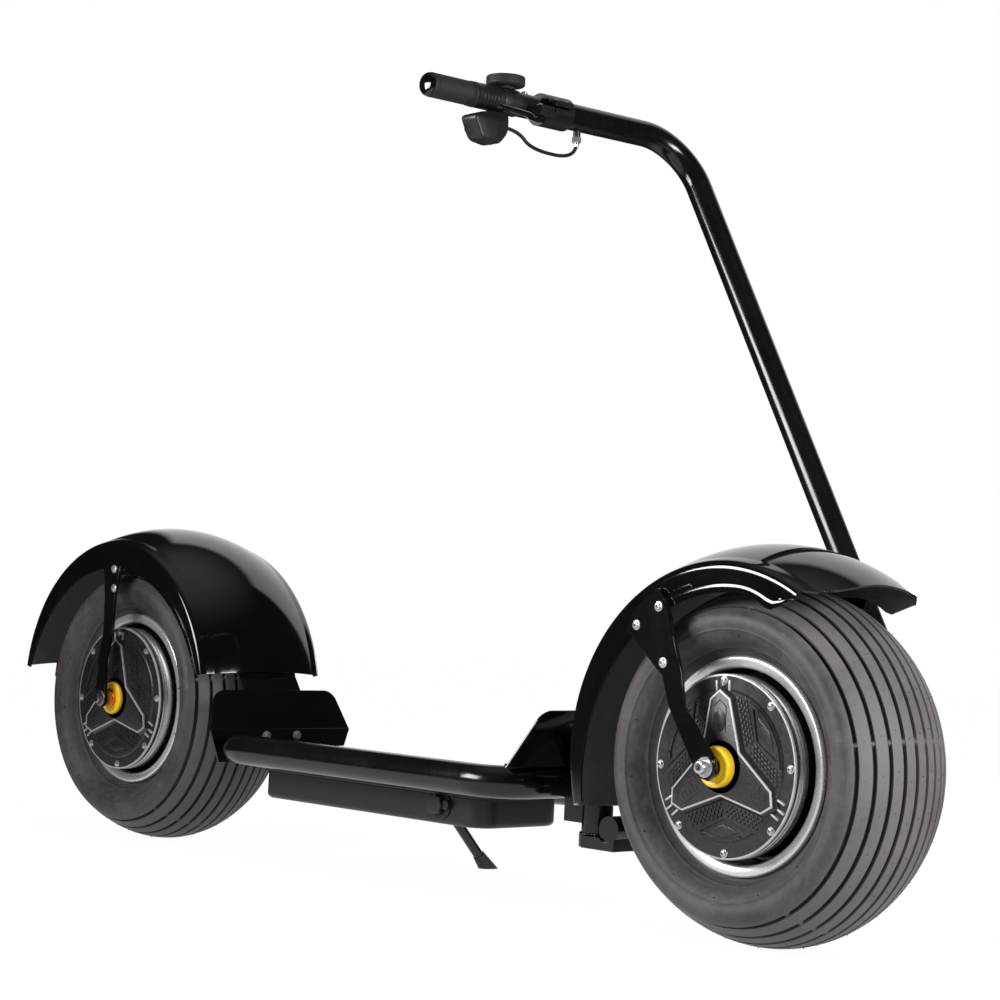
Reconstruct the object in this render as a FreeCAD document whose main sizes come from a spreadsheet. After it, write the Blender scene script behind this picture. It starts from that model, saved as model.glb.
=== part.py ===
import FreeCAD, Part
import Sketcher
import math
import os
from FreeCAD import Rotation, Vector

# Electric chopper scooter: two fat wheels in line, a low deck between them, and a one-sided
# handle that rises from the left end of the front axle and bends across to a single grip.
# Frame: +X forward, +Y to the rider's left, +Z up. The origin lies on the ground, midway
# between the two axles, in the wheels' centre plane. Lengths are in millimetres.

doc = FreeCAD.newDocument("chopper_scooter")

# Driving dimensions: alias, value, what it measures
SIZES = [
    ("wheelbase", 1310, "front axle to rear axle"),
    ("tyre_radius", 229, "axle to the ground"),
    ("tyre_half_width", 100, "centre plane to the widest point of the sidewall"),
    ("tread_half_width", 80, "centre plane to the tread's edge"),
    ("tread_drop", 3, "crown to the tread's edge"),
    ("bead_radius", 127, "seat of the tyre on the rim"),
    ("rim_half_width", 74, "centre plane to the rim lip's outer face"),
    ("rim_lip_radius", 137.5, "outside of the rim lip"),
    ("rim_well_radius", 121, "inside of the rim barrel"),
    ("rim_web_half_width", 14, "centre plane to the faces of the web that carries the rim"),
    ("hub_radius", 115, "hub motor housing"),
    ("hub_left", 62, "centre plane to the housing's flat face on the left"),
    ("hub_right", 91, "centre plane to the housing's flat face on the right"),
    ("cover_face", 98, "centre plane to the hub cover's outer ring"),
    ("ornament_radius", 94, "hub cover's raised field, inside the ring of screws"),
    ("field_height", 2, "raised field above the cover's outer ring"),
    ("frame_height", 4, "three-cornered frames above the cover's outer ring"),
    ("arm_height", 8, "three arms above the cover's outer ring"),
    ("arm_tip", 95, "axle to the tip of an arm"),
    ("arm_half_width", 16, "arm near its tip"),
    ("arm_notch", 36, "axle to the corner where two arms meet"),
    ("arm_turn", 3.5, "first arm leans back from the vertical, degrees"),
    ("left_boss_width", 16, "brake side's boss, beyond the housing's flat face"),
    ("axle_radius", 10, "wheel spindle"),
    ("spin_gap", 0.05, "radial running clearance of a turning piece"),
    ("bushing_radius", 27.5, "round spacer between hub and stay"),
    ("front_bushing_width", 13, "front round spacer, along the axle"),
    ("rear_bushing_width", 5, "rear round spacer, along the axle"),
    ("bushing_gap", 1, "turning hub to the spacer"),
    ("collar_radius", 17, "thick part of the spindle on the left"),
    ("stay_thickness", 6, "flat stays and their brackets"),
    ("stay_offset", 8, "joggle of a stay, from fender side to axle end"),
    ("disc_radius", 78, "brake disc"),
    ("disc_thickness", 3, "brake disc"),
    ("fender_clearance", 51, "tyre to the outside of a fender's top"),
    ("crown_drop", 12, "top of a fender to where its crown meets the shoulder"),
    ("shoulder_drop", 34, "top of a fender to the fender's side, where the shoulder ends"),
    ("fender_shoulder_width", 96, "centre plane to the start of the shoulder"),
    ("fender_half_width", 120, "centre plane to the fender's side"),
    ("fender_wall", 3, "fender sheet"),
    ("fender_side_depth", 36, "depth of the side wall below the shoulder"),
    ("crescent_drop", 36, "how far the trimming circle sits below the axle, mid-fender"),
    ("rear_fender_low", 12, "rear fender's front end, degrees above the horizontal"),
    ("rear_fender_high", 171, "rear fender's rear end, degrees from the front"),
    ("front_fender_low", 44, "front fender's nose before its trim, degrees above the horizontal"),
    ("nose_reach", 171, "front axle to the nose of the front fender"),
    ("nose_depth", 84, "nose back to where its side walls start to rise"),
    ("nose_rise", 21, "rise of the side walls' lower edge towards the nose"),
    ("nose_side_height", 198, "axle to the front corner of the front fender's side walls"),
    ("front_fender_high", 196, "front fender's skirt, degrees from the front"),
    ("main_tube_radius", 22.5, "frame tube"),
    ("main_tube_height", 176, "right side of the frame tube, centre above the ground"),
    ("main_tube_low", 148, "left side of the frame tube, centre above the ground"),
    ("main_tube_right", 130, "centre plane to the frame tube on the right"),
    ("main_tube_left", 132, "centre plane to the frame tube on the left"),
    ("front_run_gap", 365, "front axle to the frame tube across the front"),
    ("rear_run_gap", 327.5, "rear axle to the frame tube across the rear"),
    ("corner_bend", 58, "bend radius of the frame tube's corners"),
    ("dropout_thickness", 12, "plates at the left ends of the axles"),
    ("plate_thickness", 3, "bulkhead sheet"),
    ("plate_half_width", 137, "bulkhead at its fold"),
    ("plate_top_half_width", 116, "rear bulkhead at its top"),
    ("plate_height", 60, "rear bulkhead above its fold"),
    ("plate_lean", 22, "rear bulkhead's top, behind its fold"),
    ("front_plate_top_half_width", 112, "front bulkhead at its top"),
    ("front_plate_height", 79, "front bulkhead above its fold"),
    ("front_plate_lean", 42, "front bulkhead's top, ahead of its fold"),
    ("deck_front_gap", 26, "frame tube across the front to the deck board"),
    ("deck_rear_gap", 37.5, "frame tube across the rear to the deck board"),
    ("deck_half_width", 104, "deck board"),
    ("deck_top", 168, "deck board's top above the ground"),
    ("board_thickness", 10, "deck board"),
    ("tray_thickness", 4, "flange of the battery box, between the tubes"),
    ("seat_gap", 0.1, "pieces that lie against a tube"),
    ("box_front_gap", 90, "frame tube across the front to the battery box"),
    ("box_rear_gap", 31.5, "frame tube across the rear to the battery box"),
    ("box_half_width", 82, "battery box"),
    ("box_bottom", 103, "battery box's underside above the ground"),
    ("box_corner", 36, "upright corners of the battery box"),
    ("head_gap", 55, "frame tube across the front to the steering axis"),
    ("head_radius", 21, "steering head"),
    ("head_bottom", 110, "steering head's lower face above the ground"),
    ("head_top", 196, "steering head's upper face above the ground"),
    ("kingpin_radius", 14, "steering pin"),
    ("yoke_thickness", 16, "plate under the steering head"),
    ("yoke_gap", 1, "steering head to the plates above and below it"),
    ("arm_tube_radius", 18, "tube from the steering pin to the front axle"),
    ("arm_reach", 47, "steering axis to the cross run of that tube"),
    ("handle_side", 142, "centre plane to the handle's upright tube"),
    ("handle_radius", 18, "handle tube"),
    ("handle_rake", 29.1, "handle leans back from the vertical, degrees"),
    ("handle_bend", 78, "bend radius at the top of the handle"),
    ("handle_foot_ahead", 112, "front axle to the handle's foot"),
    ("handle_foot_rise", 35, "handle's foot above the front axle"),
    ("crossbar_height", 1078, "crossbar's centre above the ground"),
    ("crossbar_end", 104, "centre plane to the crossbar's open end"),
    ("inner_bar_radius", 11, "thin bar in the end of the crossbar"),
    ("inner_bar_end", 334, "centre plane to the thin bar's end"),
    ("grip_radius", 16, "rubber grip"),
    ("stand_position", -114, "origin to the side stand's pivot"),
    ("stand_pivot_height", 104, "side stand's pivot above the ground"),
    ("stand_foot_reach", 96, "side stand's foot, outboard of its pivot"),
    ("stand_leg_radius", 8, "side stand's leg"),
    ("stand_bolt_radius", 5, "side stand's hinge bolt"),
]

sheet = doc.addObject("Spreadsheet::Sheet", "Sizes")
for row, (alias, value, meaning) in enumerate(SIZES, start=1):
    sheet.set(f"A{row}", meaning)
    sheet.set(f"B{row}", str(value))
    sheet.setAlias(f"B{row}", alias)
doc.recompute()


class Size:
    """A number together with the sheet formula that gives it."""

    def __init__(self, value, formula=None):
        self.value = float(value)
        self.formula = formula if formula else f"({float(value)})"

    def __add__(self, other):
        other = as_size(other)
        return Size(self.value + other.value, f"({self.formula} + {other.formula})")

    def __sub__(self, other):
        other = as_size(other)
        return Size(self.value - other.value, f"({self.formula} - {other.formula})")

    def __mul__(self, other):
        other = as_size(other)
        return Size(self.value * other.value, f"({self.formula} * {other.formula})")

    def __truediv__(self, other):
        other = as_size(other)
        return Size(self.value / other.value, f"({self.formula} / {other.formula})")

    def __neg__(self):
        return Size(-self.value, f"(-{self.formula})")

    def __rsub__(self, other):
        return as_size(other) - self

    __radd__ = __add__
    __rmul__ = __mul__


def as_size(number):
    return number if isinstance(number, Size) else Size(number)


def root(number):
    return Size(math.sqrt(number.value), f"sqrt({number.formula})")


def arctangent(number):
    return Size(math.degrees(math.atan(number.value)), f"atan({number.formula})")


def cosine(angle):
    return Size(math.cos(math.radians(angle.value)), f"cos({angle.formula})")


def sine(angle):
    return Size(math.sin(math.radians(angle.value)), f"sin({angle.formula})")


size = {alias: Size(value, f"Sizes.{alias}") for alias, value, meaning in SIZES}
zero = Size(0)

front_axle = size["wheelbase"] / 2
rear_axle = -front_axle
axle_height = size["tyre_radius"]

# Places that follow from the driving dimensions
size["fender_radius"] = size["tyre_radius"] + size["fender_clearance"]
size["fender_shoulder_radius"] = size["fender_radius"] - size["crown_drop"]
size["fender_edge_radius"] = size["fender_radius"] - size["shoulder_drop"]
size["crescent_radius"] = size["fender_edge_radius"]
size["front_run"] = front_axle - size["front_run_gap"]
size["rear_run"] = front_axle - size["rear_run_gap"]
size["fold_height"] = size["main_tube_height"] + size["main_tube_radius"]
size["deck_front"] = size["front_run"] - size["deck_front_gap"]
size["deck_rear"] = size["rear_run"] - size["deck_rear_gap"]
size["box_front"] = size["front_run"] - size["box_front_gap"]
size["box_rear"] = size["rear_run"] - size["box_rear_gap"]
size["head_position"] = size["front_run"] + size["head_gap"]
size["arm_forward"] = size["head_position"] + size["arm_reach"]
size["handle_foot_height"] = axle_height + size["handle_foot_rise"]


def bind(thing, **sizes):
    """Tie properties of an object to sheet formulas."""
    for name, value in sizes.items():
        thing.setExpression(name, as_size(value).formula)


def place(thing, x=zero, y=zero, z=zero, axis=None, angle=zero):
    """Put an object at named coordinates, turned by an angle in degrees about an axis."""
    x, y, z, angle = (as_size(number) for number in (x, y, z, angle))
    turn = Rotation(axis, angle.value) if axis else Rotation()
    thing.Placement = FreeCAD.Placement(Vector(x.value, y.value, z.value), turn)
    for letter, number in zip("xyz", (x, y, z)):
        thing.setExpression(f"Placement.Base.{letter}", number.formula)
    if axis and angle.value:
        thing.setExpression("Placement.Rotation.Angle", angle.formula)
    return thing


def body(label):
    part = doc.addObject("PartDesign::Body", label)
    part.Label = label
    return part


def sketch_on(part, role, name):
    """An empty sketch on one of the body's own origin planes."""
    sketch = part.newObject("Sketcher::SketchObject", name)
    plane = next(f for f in part.Origin.OriginFeatures if f.Role == role)
    sketch.AttachmentSupport = (plane, [""])
    sketch.MapMode = "FlatFace"
    return sketch


def lift_sketch(sketch, distance):
    """Move a sketch off its plane, along its own normal."""
    sketch.AttachmentOffset = FreeCAD.Placement(Vector(0, 0, distance.value), Rotation())
    sketch.setExpression("AttachmentOffset.Base.z", distance.formula)


def pin_point(sketch, edge, end, u, v):
    """Fix one end of a sketch edge at named coordinates."""
    for kind, number in (("DistanceX", u), ("DistanceY", v)):
        index = sketch.addConstraint(Sketcher.Constraint(kind, -1, 1, edge, end, number.value))
        sketch.setExpression(f"Constraints[{index}]", number.formula)


def outline(sketch, corners, arcs=None):
    """A closed outline through the corners. arcs gives, for the edge that leaves a corner,
    its radius and the side its centre lies on (1 left of the way travelled, -1 right)."""
    arcs = arcs or {}
    corners = [(as_size(u), as_size(v)) for u, v in corners]
    points = [Vector(u.value, v.value, 0) for u, v in corners]
    count = len(points)
    first = sketch.GeometryCount
    starts = []
    for i, start in enumerate(points):
        end = points[(i + 1) % count]
        if i not in arcs:
            sketch.addGeometry(Part.LineSegment(start, end))
            starts.append((1, 2))
            continue
        radius, side = arcs[i]
        radius = as_size(radius)
        chord = end - start
        left = Vector(-chord.y, chord.x, 0).normalize()
        reach = math.sqrt(max(radius.value ** 2 - (chord.Length / 2) ** 2, 0))
        centre = (start + end) * 0.5 + left * (side * reach)
        turns_left = side > 0
        near, far = (start, end) if turns_left else (end, start)
        angles = [math.atan2(p.y - centre.y, p.x - centre.x) for p in (near, far)]
        circle = Part.Circle(centre, Vector(0, 0, 1), radius.value)
        edge = sketch.addGeometry(Part.ArcOfCircle(circle, angles[0], angles[1]))
        index = sketch.addConstraint(Sketcher.Constraint("Radius", edge, radius.value))
        sketch.setExpression(f"Constraints[{index}]", radius.formula)
        starts.append((1, 2) if turns_left else (2, 1))
    for i in range(count):
        after = (i + 1) % count
        sketch.addConstraint(Sketcher.Constraint(
            "Coincident", first + i, starts[i][1], first + after, starts[after][0]))
        pin_point(sketch, first + i, starts[i][0], *corners[i])
    return sketch


def circle_on(sketch, u, v, radius):
    u, v, radius = as_size(u), as_size(v), as_size(radius)
    shape = Part.Circle(Vector(u.value, v.value, 0), Vector(0, 0, 1), radius.value)
    edge = sketch.addGeometry(shape)
    pin_point(sketch, edge, 3, u, v)
    index = sketch.addConstraint(Sketcher.Constraint("Radius", edge, radius.value))
    sketch.setExpression(f"Constraints[{index}]", radius.formula)
    return sketch


def pad(part, sketch, length, both_ways=False, reverse=False):
    feature = part.newObject("PartDesign::Pad", "Pad")
    feature.Profile = sketch
    bind(feature, Length=length)
    feature.Midplane = both_ways
    feature.Reversed = reverse
    return feature


def pocket(part, sketch, length, both_ways=False, reverse=False):
    feature = part.newObject("PartDesign::Pocket", "Pocket")
    feature.Profile = sketch
    bind(feature, Length=length)
    feature.Midplane = both_ways
    feature.Reversed = reverse
    return feature


def revolve(part, sketch, angle=360):
    """Turn a profile, drawn as (y, radius), about the body's Y axis, evenly to both sides."""
    feature = part.newObject("PartDesign::Revolution", "Revolution")
    feature.Profile = sketch
    feature.ReferenceAxis = (sketch, ["H_Axis"])
    feature.Midplane = True
    bind(feature, Angle=angle)
    return feature


def edges_like(shape, wanted):
    """Names of the edges whose middle point passes the test."""
    names = []
    for number, edge in enumerate(shape.Edges, start=1):
        middle = edge.valueAt((edge.FirstParameter + edge.LastParameter) / 2)
        if wanted(edge, middle):
            names.append(f"Edge{number}")
    return names


def upright(edge, middle):
    ends = [vertex.Point for vertex in edge.Vertexes]
    return len(ends) == 2 and (ends[1] - ends[0]).cross(Vector(0, 0, 1)).Length < 1e-6


def fillet(part, base, wanted, radius):
    doc.recompute()
    feature = part.newObject("PartDesign::Fillet", "Fillet")
    feature.Base = (base, edges_like(base.Shape, wanted))
    bind(feature, Radius=radius)
    return feature


def cylinder(name, radius, length, x=zero, y=zero, z=zero, axis=None, angle=zero):
    thing = doc.addObject("Part::Cylinder", name)
    bind(thing, Radius=radius, Height=length)
    return place(thing, x, y, z, axis, angle)


def cross_cylinder(name, radius, start, end, x, z):
    """A cylinder along +Y from start to end."""
    return cylinder(name, radius, as_size(end) - start, x, start, z, Vector(1, 0, 0), Size(-90))


def block(name, low, high):
    thing = doc.addObject("Part::Box", name)
    low = [as_size(number) for number in low]
    high = [as_size(number) for number in high]
    bind(thing, Length=high[0] - low[0], Width=high[1] - low[1], Height=high[2] - low[2])
    return place(thing, *low)


def join(label, pieces):
    thing = doc.addObject("Part::MultiFuse", label)
    thing.Shapes = pieces
    thing.Label = label
    return thing


def cut(label, base, tool):
    thing = doc.addObject("Part::Cut", label)
    thing.Base = base
    thing.Tool = tool
    thing.Label = label
    return thing


def made(label, shape):
    thing = doc.addObject("Part::Feature", label)
    thing.Shape = shape
    thing.Label = label
    return thing


def bent_path(points, radii):
    """Straight runs through the points, with a tangent arc of the given radius at each turn."""
    edges = []
    last = points[0]
    for i in range(1, len(points) - 1):
        corner = points[i]
        back = (points[i - 1] - corner).normalize()
        ahead = (points[i + 1] - corner).normalize()
        half_turn = (math.pi - back.getAngle(ahead)) / 2
        reach = radii[i - 1] * math.tan(half_turn)
        enter = corner + back * reach
        leave = corner + ahead * reach
        inward = (back + ahead).normalize()
        middle = corner + inward * (radii[i - 1] / math.cos(half_turn) - radii[i - 1])
        edges.append(Part.LineSegment(last, enter).toShape())
        edges.append(Part.Arc(enter, middle, leave).toShape())
        last = leave
    edges.append(Part.LineSegment(last, points[-1]).toShape())
    return Part.Wire(edges)


def tube(path, radius):
    start = path.Vertexes[0].Point
    tangent = path.Edges[0].tangentAt(path.Edges[0].FirstParameter)
    section = Part.Wire(Part.makeCircle(radius, start, tangent))
    return path.makePipeShell([section], True, True)


def spot(x, y, z):
    return Vector(*(as_size(number).value for number in (x, y, z)))


nodes = []


def keep(thing, label=None):
    """Mark an object as one of the scooter's pieces."""
    if label:
        thing.Label = label
    nodes.append(thing)
    return thing


# Wheels: tyre, rim, hub motor and cover, all turned about the spindle


def tyre(label, x):
    """A fat tyre without its tread: its beads sit inside the rim's lips and its sides bulge past them."""
    part = body(label)
    s = size
    profile = sketch_on(part, "YZ_Plane", "TyreProfile")
    wide, tread = s["tyre_half_width"], s["tread_half_width"]
    top, shoulder = s["tyre_radius"], s["tyre_radius"] - s["tread_drop"]
    belly = (s["tyre_radius"] + s["bead_radius"]) / 2
    bead = s["rim_half_width"] - 8
    over_lip = s["rim_lip_radius"] + 1
    side = [(bead, s["bead_radius"]), (bead, over_lip), (wide - 14, over_lip + 14),
            (wide - 3, belly - 8), (wide, belly + 6), (wide - 3, shoulder - 26),
            (wide - 10, shoulder - 9), (tread, shoulder)]
    right = [(-y, radius) for y, radius in side]
    outline(profile, right + [(zero, top)] + side[::-1])
    revolve(part, profile)
    return keep(place(part, x, zero, axle_height))


def rim(label, x):
    part = body(label)
    s = size
    profile = sketch_on(part, "YZ_Plane", "RimProfile")
    face, lip = s["rim_half_width"], s["rim_lip_radius"]
    seat, well = s["bead_radius"], s["rim_well_radius"]
    hub_outside, web = s["hub_radius"], s["rim_web_half_width"]
    right = [(-face, seat - 3), (-face, lip), (-face + 7, lip), (-face + 8, seat)]
    left = [(face - 8, seat), (face - 7, lip), (face, lip), (face, seat - 3)]
    inside = [(face - 12, well), (web, well), (web, hub_outside), (-web, hub_outside),
              (-web, well), (-face + 12, well)]
    outline(profile, right + left + inside)
    revolve(part, profile)
    return keep(place(part, x, zero, axle_height))


def hub(label, x):
    """The motor housing. Its right side stands out past the rim, under the cover."""
    part = body(label)
    s = size
    profile = sketch_on(part, "YZ_Plane", "HubProfile")
    bore = s["axle_radius"] + s["spin_gap"]
    right, left, radius = s["hub_right"], s["hub_left"], s["hub_radius"]
    boss = left + s["left_boss_width"]
    outline(profile, [(-right, bore), (-right, radius), (left - 8, radius), (left, radius - 8),
                      (left + 4, 44), (boss, 40), (boss, bore)])
    revolve(part, profile)
    return keep(place(part, x, zero, axle_height))


def raised_thrice(part, name, corners, height, arcs=None, hollow=None, depth=zero):
    """A raised form on the cover's outer ring, repeated at each third of a turn. hollow is the
    outline of a recess in it."""
    s = size
    flat = sketch_on(part, "XZ_Plane", name + "Outline")
    lift_sketch(flat, s["cover_face"] - 1)
    outline(flat, corners, arcs)
    features = [pad(part, flat, height + 1)]
    if hollow:
        inner = sketch_on(part, "XZ_Plane", name + "Recess")
        lift_sketch(inner, s["cover_face"] + height)
        outline(inner, hollow)
        features.append(pocket(part, inner, depth))
    doc.recompute()
    pattern = part.newObject("PartDesign::PolarPattern", name + "Thrice")
    pattern.Originals = features
    y_axis = next(f for f in part.Origin.OriginFeatures if f.Role == "Y_Axis")
    pattern.Axis = (y_axis, [""])
    pattern.Angle = 360
    pattern.Occurrences = 3
    part.Tip = pattern
    doc.recompute()


def polar(radius, degrees):
    """Corner (u, v) at a radius and an angle from the first arm's direction, towards +u."""
    angle = as_size(degrees)
    return radius * sine(angle), radius * cosine(angle)


def hub_cover(label, x):
    """A round plate with a raised field, three blunt arms and, between them, three frames."""
    part = body(label)
    s = size
    bore = s["axle_radius"] + s["spin_gap"]
    inner, face = s["hub_right"], s["cover_face"]
    radius, field = s["hub_radius"], s["ornament_radius"]
    profile = sketch_on(part, "YZ_Plane", "CoverProfile")
    step = s["field_height"]
    outline(profile, [(-inner, bore), (-inner, radius), (-face + 2, radius), (-face, radius - 2),
                      (-face, field + step), (-face - step, field), (-face - step, bore)])
    revolve(part, profile)

    tip, half, notch = s["arm_tip"], s["arm_half_width"], s["arm_notch"]
    right_notch = polar(notch, 60)
    left_notch = polar(notch, -60)
    raised_thrice(part, "Arm", [left_notch, (-half, tip - 11), (zero, tip), (half, tip - 11),
                                right_notch, (zero, zero)], s["arm_height"])

    edge = field - 1
    apex = s["arm_notch"] + 26
    wall = 5
    low, high = polar(edge, 60 - 32), polar(edge, 60 + 32)
    recess = [polar(apex + wall * 1.8, 60), polar(edge - wall * 1.6, 60 - 24),
              polar(edge - wall, 60), polar(edge - wall * 1.6, 60 + 24)]
    raised_thrice(part, "Frame", [polar(apex, 60), low, high], s["frame_height"],
                  arcs={1: (edge, -1)}, hollow=recess, depth=Size(3.5))

    hole = sketch_on(part, "XZ_Plane", "Bore")
    lift_sketch(hole, face + s["arm_height"] + 1)
    circle_on(hole, zero, zero, bore)
    part.Tip = pocket(part, hole, s["arm_height"] + face - inner + 2)
    return keep(place(part, x, zero, axle_height, Vector(0, 1, 0), -s["arm_turn"]))


def spindle(label, x, right_end, collar_end, left_end):
    """The fixed axle: plain through the hub, with a thick collar on its left."""
    part = body(label)
    s = size
    profile = sketch_on(part, "YZ_Plane", "SpindleProfile")
    collar_start = s["hub_left"] + s["left_boss_width"] + s["bushing_gap"]
    outline(profile, [(-right_end, zero), (-right_end, s["axle_radius"]),
                      (collar_start, s["axle_radius"]), (collar_start, s["collar_radius"]),
                      (collar_end, s["collar_radius"]), (collar_end, s["axle_radius"]),
                      (left_end, s["axle_radius"]), (left_end, zero)])
    revolve(part, profile)
    return keep(place(part, x, zero, axle_height))


def bushing(label, x, width):
    """The round spacer on the fixed axle, just outboard of the turning arms."""
    s = size
    end = -s["cover_face"] - s["arm_height"] - s["bushing_gap"]
    start = end - width
    solid = cross_cylinder(label + "_disc", s["bushing_radius"], start, end, x, axle_height)
    bore = cross_cylinder(label + "_bore", s["axle_radius"], start - 1, end + 1, x, axle_height)
    return keep(cut(label, solid, bore))


# Fenders: a crowned sheet turned about the axle, with side walls trimmed to a crescent


def fender(label, x, low_angle, high_angle):
    part = body(label + "_sheet")
    s = size
    wall = s["fender_wall"]
    half = s["fender_half_width"]
    shoulder = s["fender_shoulder_width"]
    edge = s["fender_edge_radius"]
    bottom = edge - s["fender_side_depth"]
    crown = s["fender_radius"]
    bend = s["fender_shoulder_radius"]
    profile = sketch_on(part, "YZ_Plane", "FenderProfile")
    outer = [(-half, bottom), (-half, edge), (-shoulder, bend), (shoulder, bend), (half, edge),
             (half, bottom)]
    inner = [(half - wall, bottom), (half - wall, edge), (shoulder, bend - wall),
             (-shoulder, bend - wall), (-half + wall, edge), (-half + wall, bottom)]
    sag = crown - bend
    crown_arc = (shoulder * shoulder + sag * sag) / (sag * 2)
    outline(profile, outer + inner,
            arcs={1: (28, -1), 2: (crown_arc, -1), 3: (28, -1),
                  7: (28 - wall, 1), 8: (crown_arc - wall, 1), 9: (28 - wall, 1)})
    revolve(part, profile, high_angle - low_angle)
    trim = sketch_on(part, "XZ_Plane", "Crescent")
    circle_on(trim, zero, -s["crescent_drop"], s["crescent_radius"])
    pocket(part, trim, half * 3, both_ways=True)
    middle = (high_angle + low_angle) / 2
    return place(part, x, zero, axle_height, Vector(0, 1, 0), Size(90) - middle)


def front_fender():
    """The front fender. Its nose is trimmed to a rounded edge in plan view, and its side walls
    rise to it along a line in side view."""
    s = size
    sheet_metal = fender("front", front_axle, s["front_fender_low"], s["front_fender_high"])
    nose, shoulder = s["nose_reach"], s["nose_reach"] - 20
    wide = s["fender_half_width"] + 5
    broad = s["fender_shoulder_width"] + 2
    back = s["nose_reach"] - s["nose_depth"]
    ahead = s["nose_reach"] + 150
    plan = doc.addObject("Sketcher::SketchObject", "nose_outline")
    sag = nose - shoulder
    front_arc = (broad * broad + sag * sag) / (sag * 2)
    outline(plan, [(back, -wide), (shoulder, -broad), (shoulder, broad), (back, wide),
                   (ahead, wide), (ahead, -wide)],
            arcs={0: (50, 1), 1: (front_arc, 1), 2: (50, 1)})
    tool = place(extruded("nose_trim", plan, Vector(0, 0, 1), Size(300)), front_axle, zero,
                 axle_height + 60)
    low = axle_height + s["nose_side_height"]
    high = low + s["nose_rise"]
    rise = slab("nose_side_trim", [(back - 2, low), (shoulder - 10, high), (ahead, high),
                                   (ahead, low - 80), (back - 2, low - 80)],
                -wide, wide * 2, front_axle)
    return keep(cut("front_fender", sheet_metal, join("nose_trims", [tool, rise])))


def rear_fender():
    s = size
    sheet_metal = fender("rear", rear_axle, s["rear_fender_low"], s["rear_fender_high"])
    return keep(sheet_metal, "rear_fender")


# Flat stays and brackets, cut from sheet: an outline in side view, and its bends in rear view


def extruded(name, sketch, along, length):
    solid = doc.addObject("Part::Extrusion", name)
    solid.Base = sketch
    solid.DirMode = "Custom"
    solid.Dir = along
    solid.Solid = True
    bind(solid, LengthFwd=length)
    return solid


def slab(label, corners, y, thickness, x=zero):
    """A flat plate: an outline in side view, given thickness towards +Y from y."""
    flat = doc.addObject("Sketcher::SketchObject", label + "_outline")
    flat.Placement = FreeCAD.Placement(Vector(), Rotation(Vector(1, 0, 0), 90))
    outline(flat, corners)
    return place(extruded(label, flat, Vector(0, 1, 0), thickness), x, y)


def rear_profile(label, corners, x, length):
    """A form that keeps one section along X: an outline of (y, z), from x forward."""
    section = doc.addObject("Sketcher::SketchObject", label + "_outline")
    section.Placement = FreeCAD.Placement(Vector(), Rotation(Vector(1, 1, 1), 120))
    outline(section, corners)
    return place(extruded(label, section, Vector(1, 0, 0), length), x)


def bored(label, solid, x, z, radius, start, end):
    """A piece with a round hole through it along Y."""
    hole = cross_cylinder(label + "_hole", radius, start, end, x, z)
    return cut(label, solid, hole)


def rear_stays():
    """Straps from the rear fender's sides to the axle: the right one steps outboard."""
    s = size
    thick = s["stay_thickness"]
    inner = s["fender_half_width"]
    outer = inner + thick
    step = s["stay_offset"]
    low, high = axle_height - 14, axle_height + 214
    bend_low, bend_high = axle_height + 60, axle_height + 110
    corners = [(-20, high), (26, high), (13, high - 50), (9, bend_low), (12, axle_height - 6),
               (4, low), (-10, low), (-14, axle_height - 4), (-12, bend_low), (-14, high - 50)]
    blank = slab("rear_stay_blank", corners, -outer - step - 5, step + thick + 10, rear_axle)
    bends = rear_profile("rear_stay_bends",
                         [(-inner, high), (-outer, high), (-outer, bend_high),
                          (-outer - step, bend_low), (-outer - step, low),
                          (-inner - step, low), (-inner - step, bend_low), (-inner, bend_high)],
                         rear_axle - 100, Size(200))
    bent = doc.addObject("Part::Common", "rear_stay_bent")
    bent.Base = blank
    bent.Tool = bends
    keep(bored("rear_stay_right", bent, rear_axle, axle_height, s["axle_radius"],
               -outer - step - 1, -inner))
    flat = slab("rear_stay_left_flat", corners, inner, thick, rear_axle)
    keep(bored("rear_stay_left", flat, rear_axle, axle_height, s["axle_radius"], inner - 1,
               outer + 1))


def above_axle(corners):
    """Corners (x, z) measured from the axle, as (x, height above the ground)."""
    return [(u, axle_height + v) for u, v in corners]


def front_stays():
    """The triangular bracket on the fender's right side, the strap from it to the axle, and the
    plate between the fender's left side and the handle."""
    s = size
    thick = s["stay_thickness"]
    side = s["fender_half_width"]
    corners = above_axle([(-150, 163), (-138, 189), (-100, 217), (-82, 201), (-66, 143),
                          (-60, 113), (-78, 103), (-94, 115)])
    spacer = s["stay_offset"]
    keep(slab("fender_bracket_right", corners, -side - spacer, spacer, front_axle))
    strap = above_axle([(-96, 137), (-62, 159), (-46, 111), (-40, 71), (15, 11), (16, -7),
                        (4, -17), (-12, -13), (-66, 71), (-78, 107)])
    flat = slab("front_strap_flat", strap, -side - spacer - thick, thick, front_axle)
    keep(bored("front_stay", flat, front_axle, axle_height, s["axle_radius"],
               -side - spacer - thick - 1, -side - spacer + 1))
    plate = above_axle([(-34, 223), (-8, 251), (22, 249), (40, 217), (34, 195), (4, 195),
                        (-20, 207)])
    keep(slab("fender_bracket_left", plate, side, s["handle_side"] - s["handle_radius"] - side,
              front_axle))


# Frame


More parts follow.
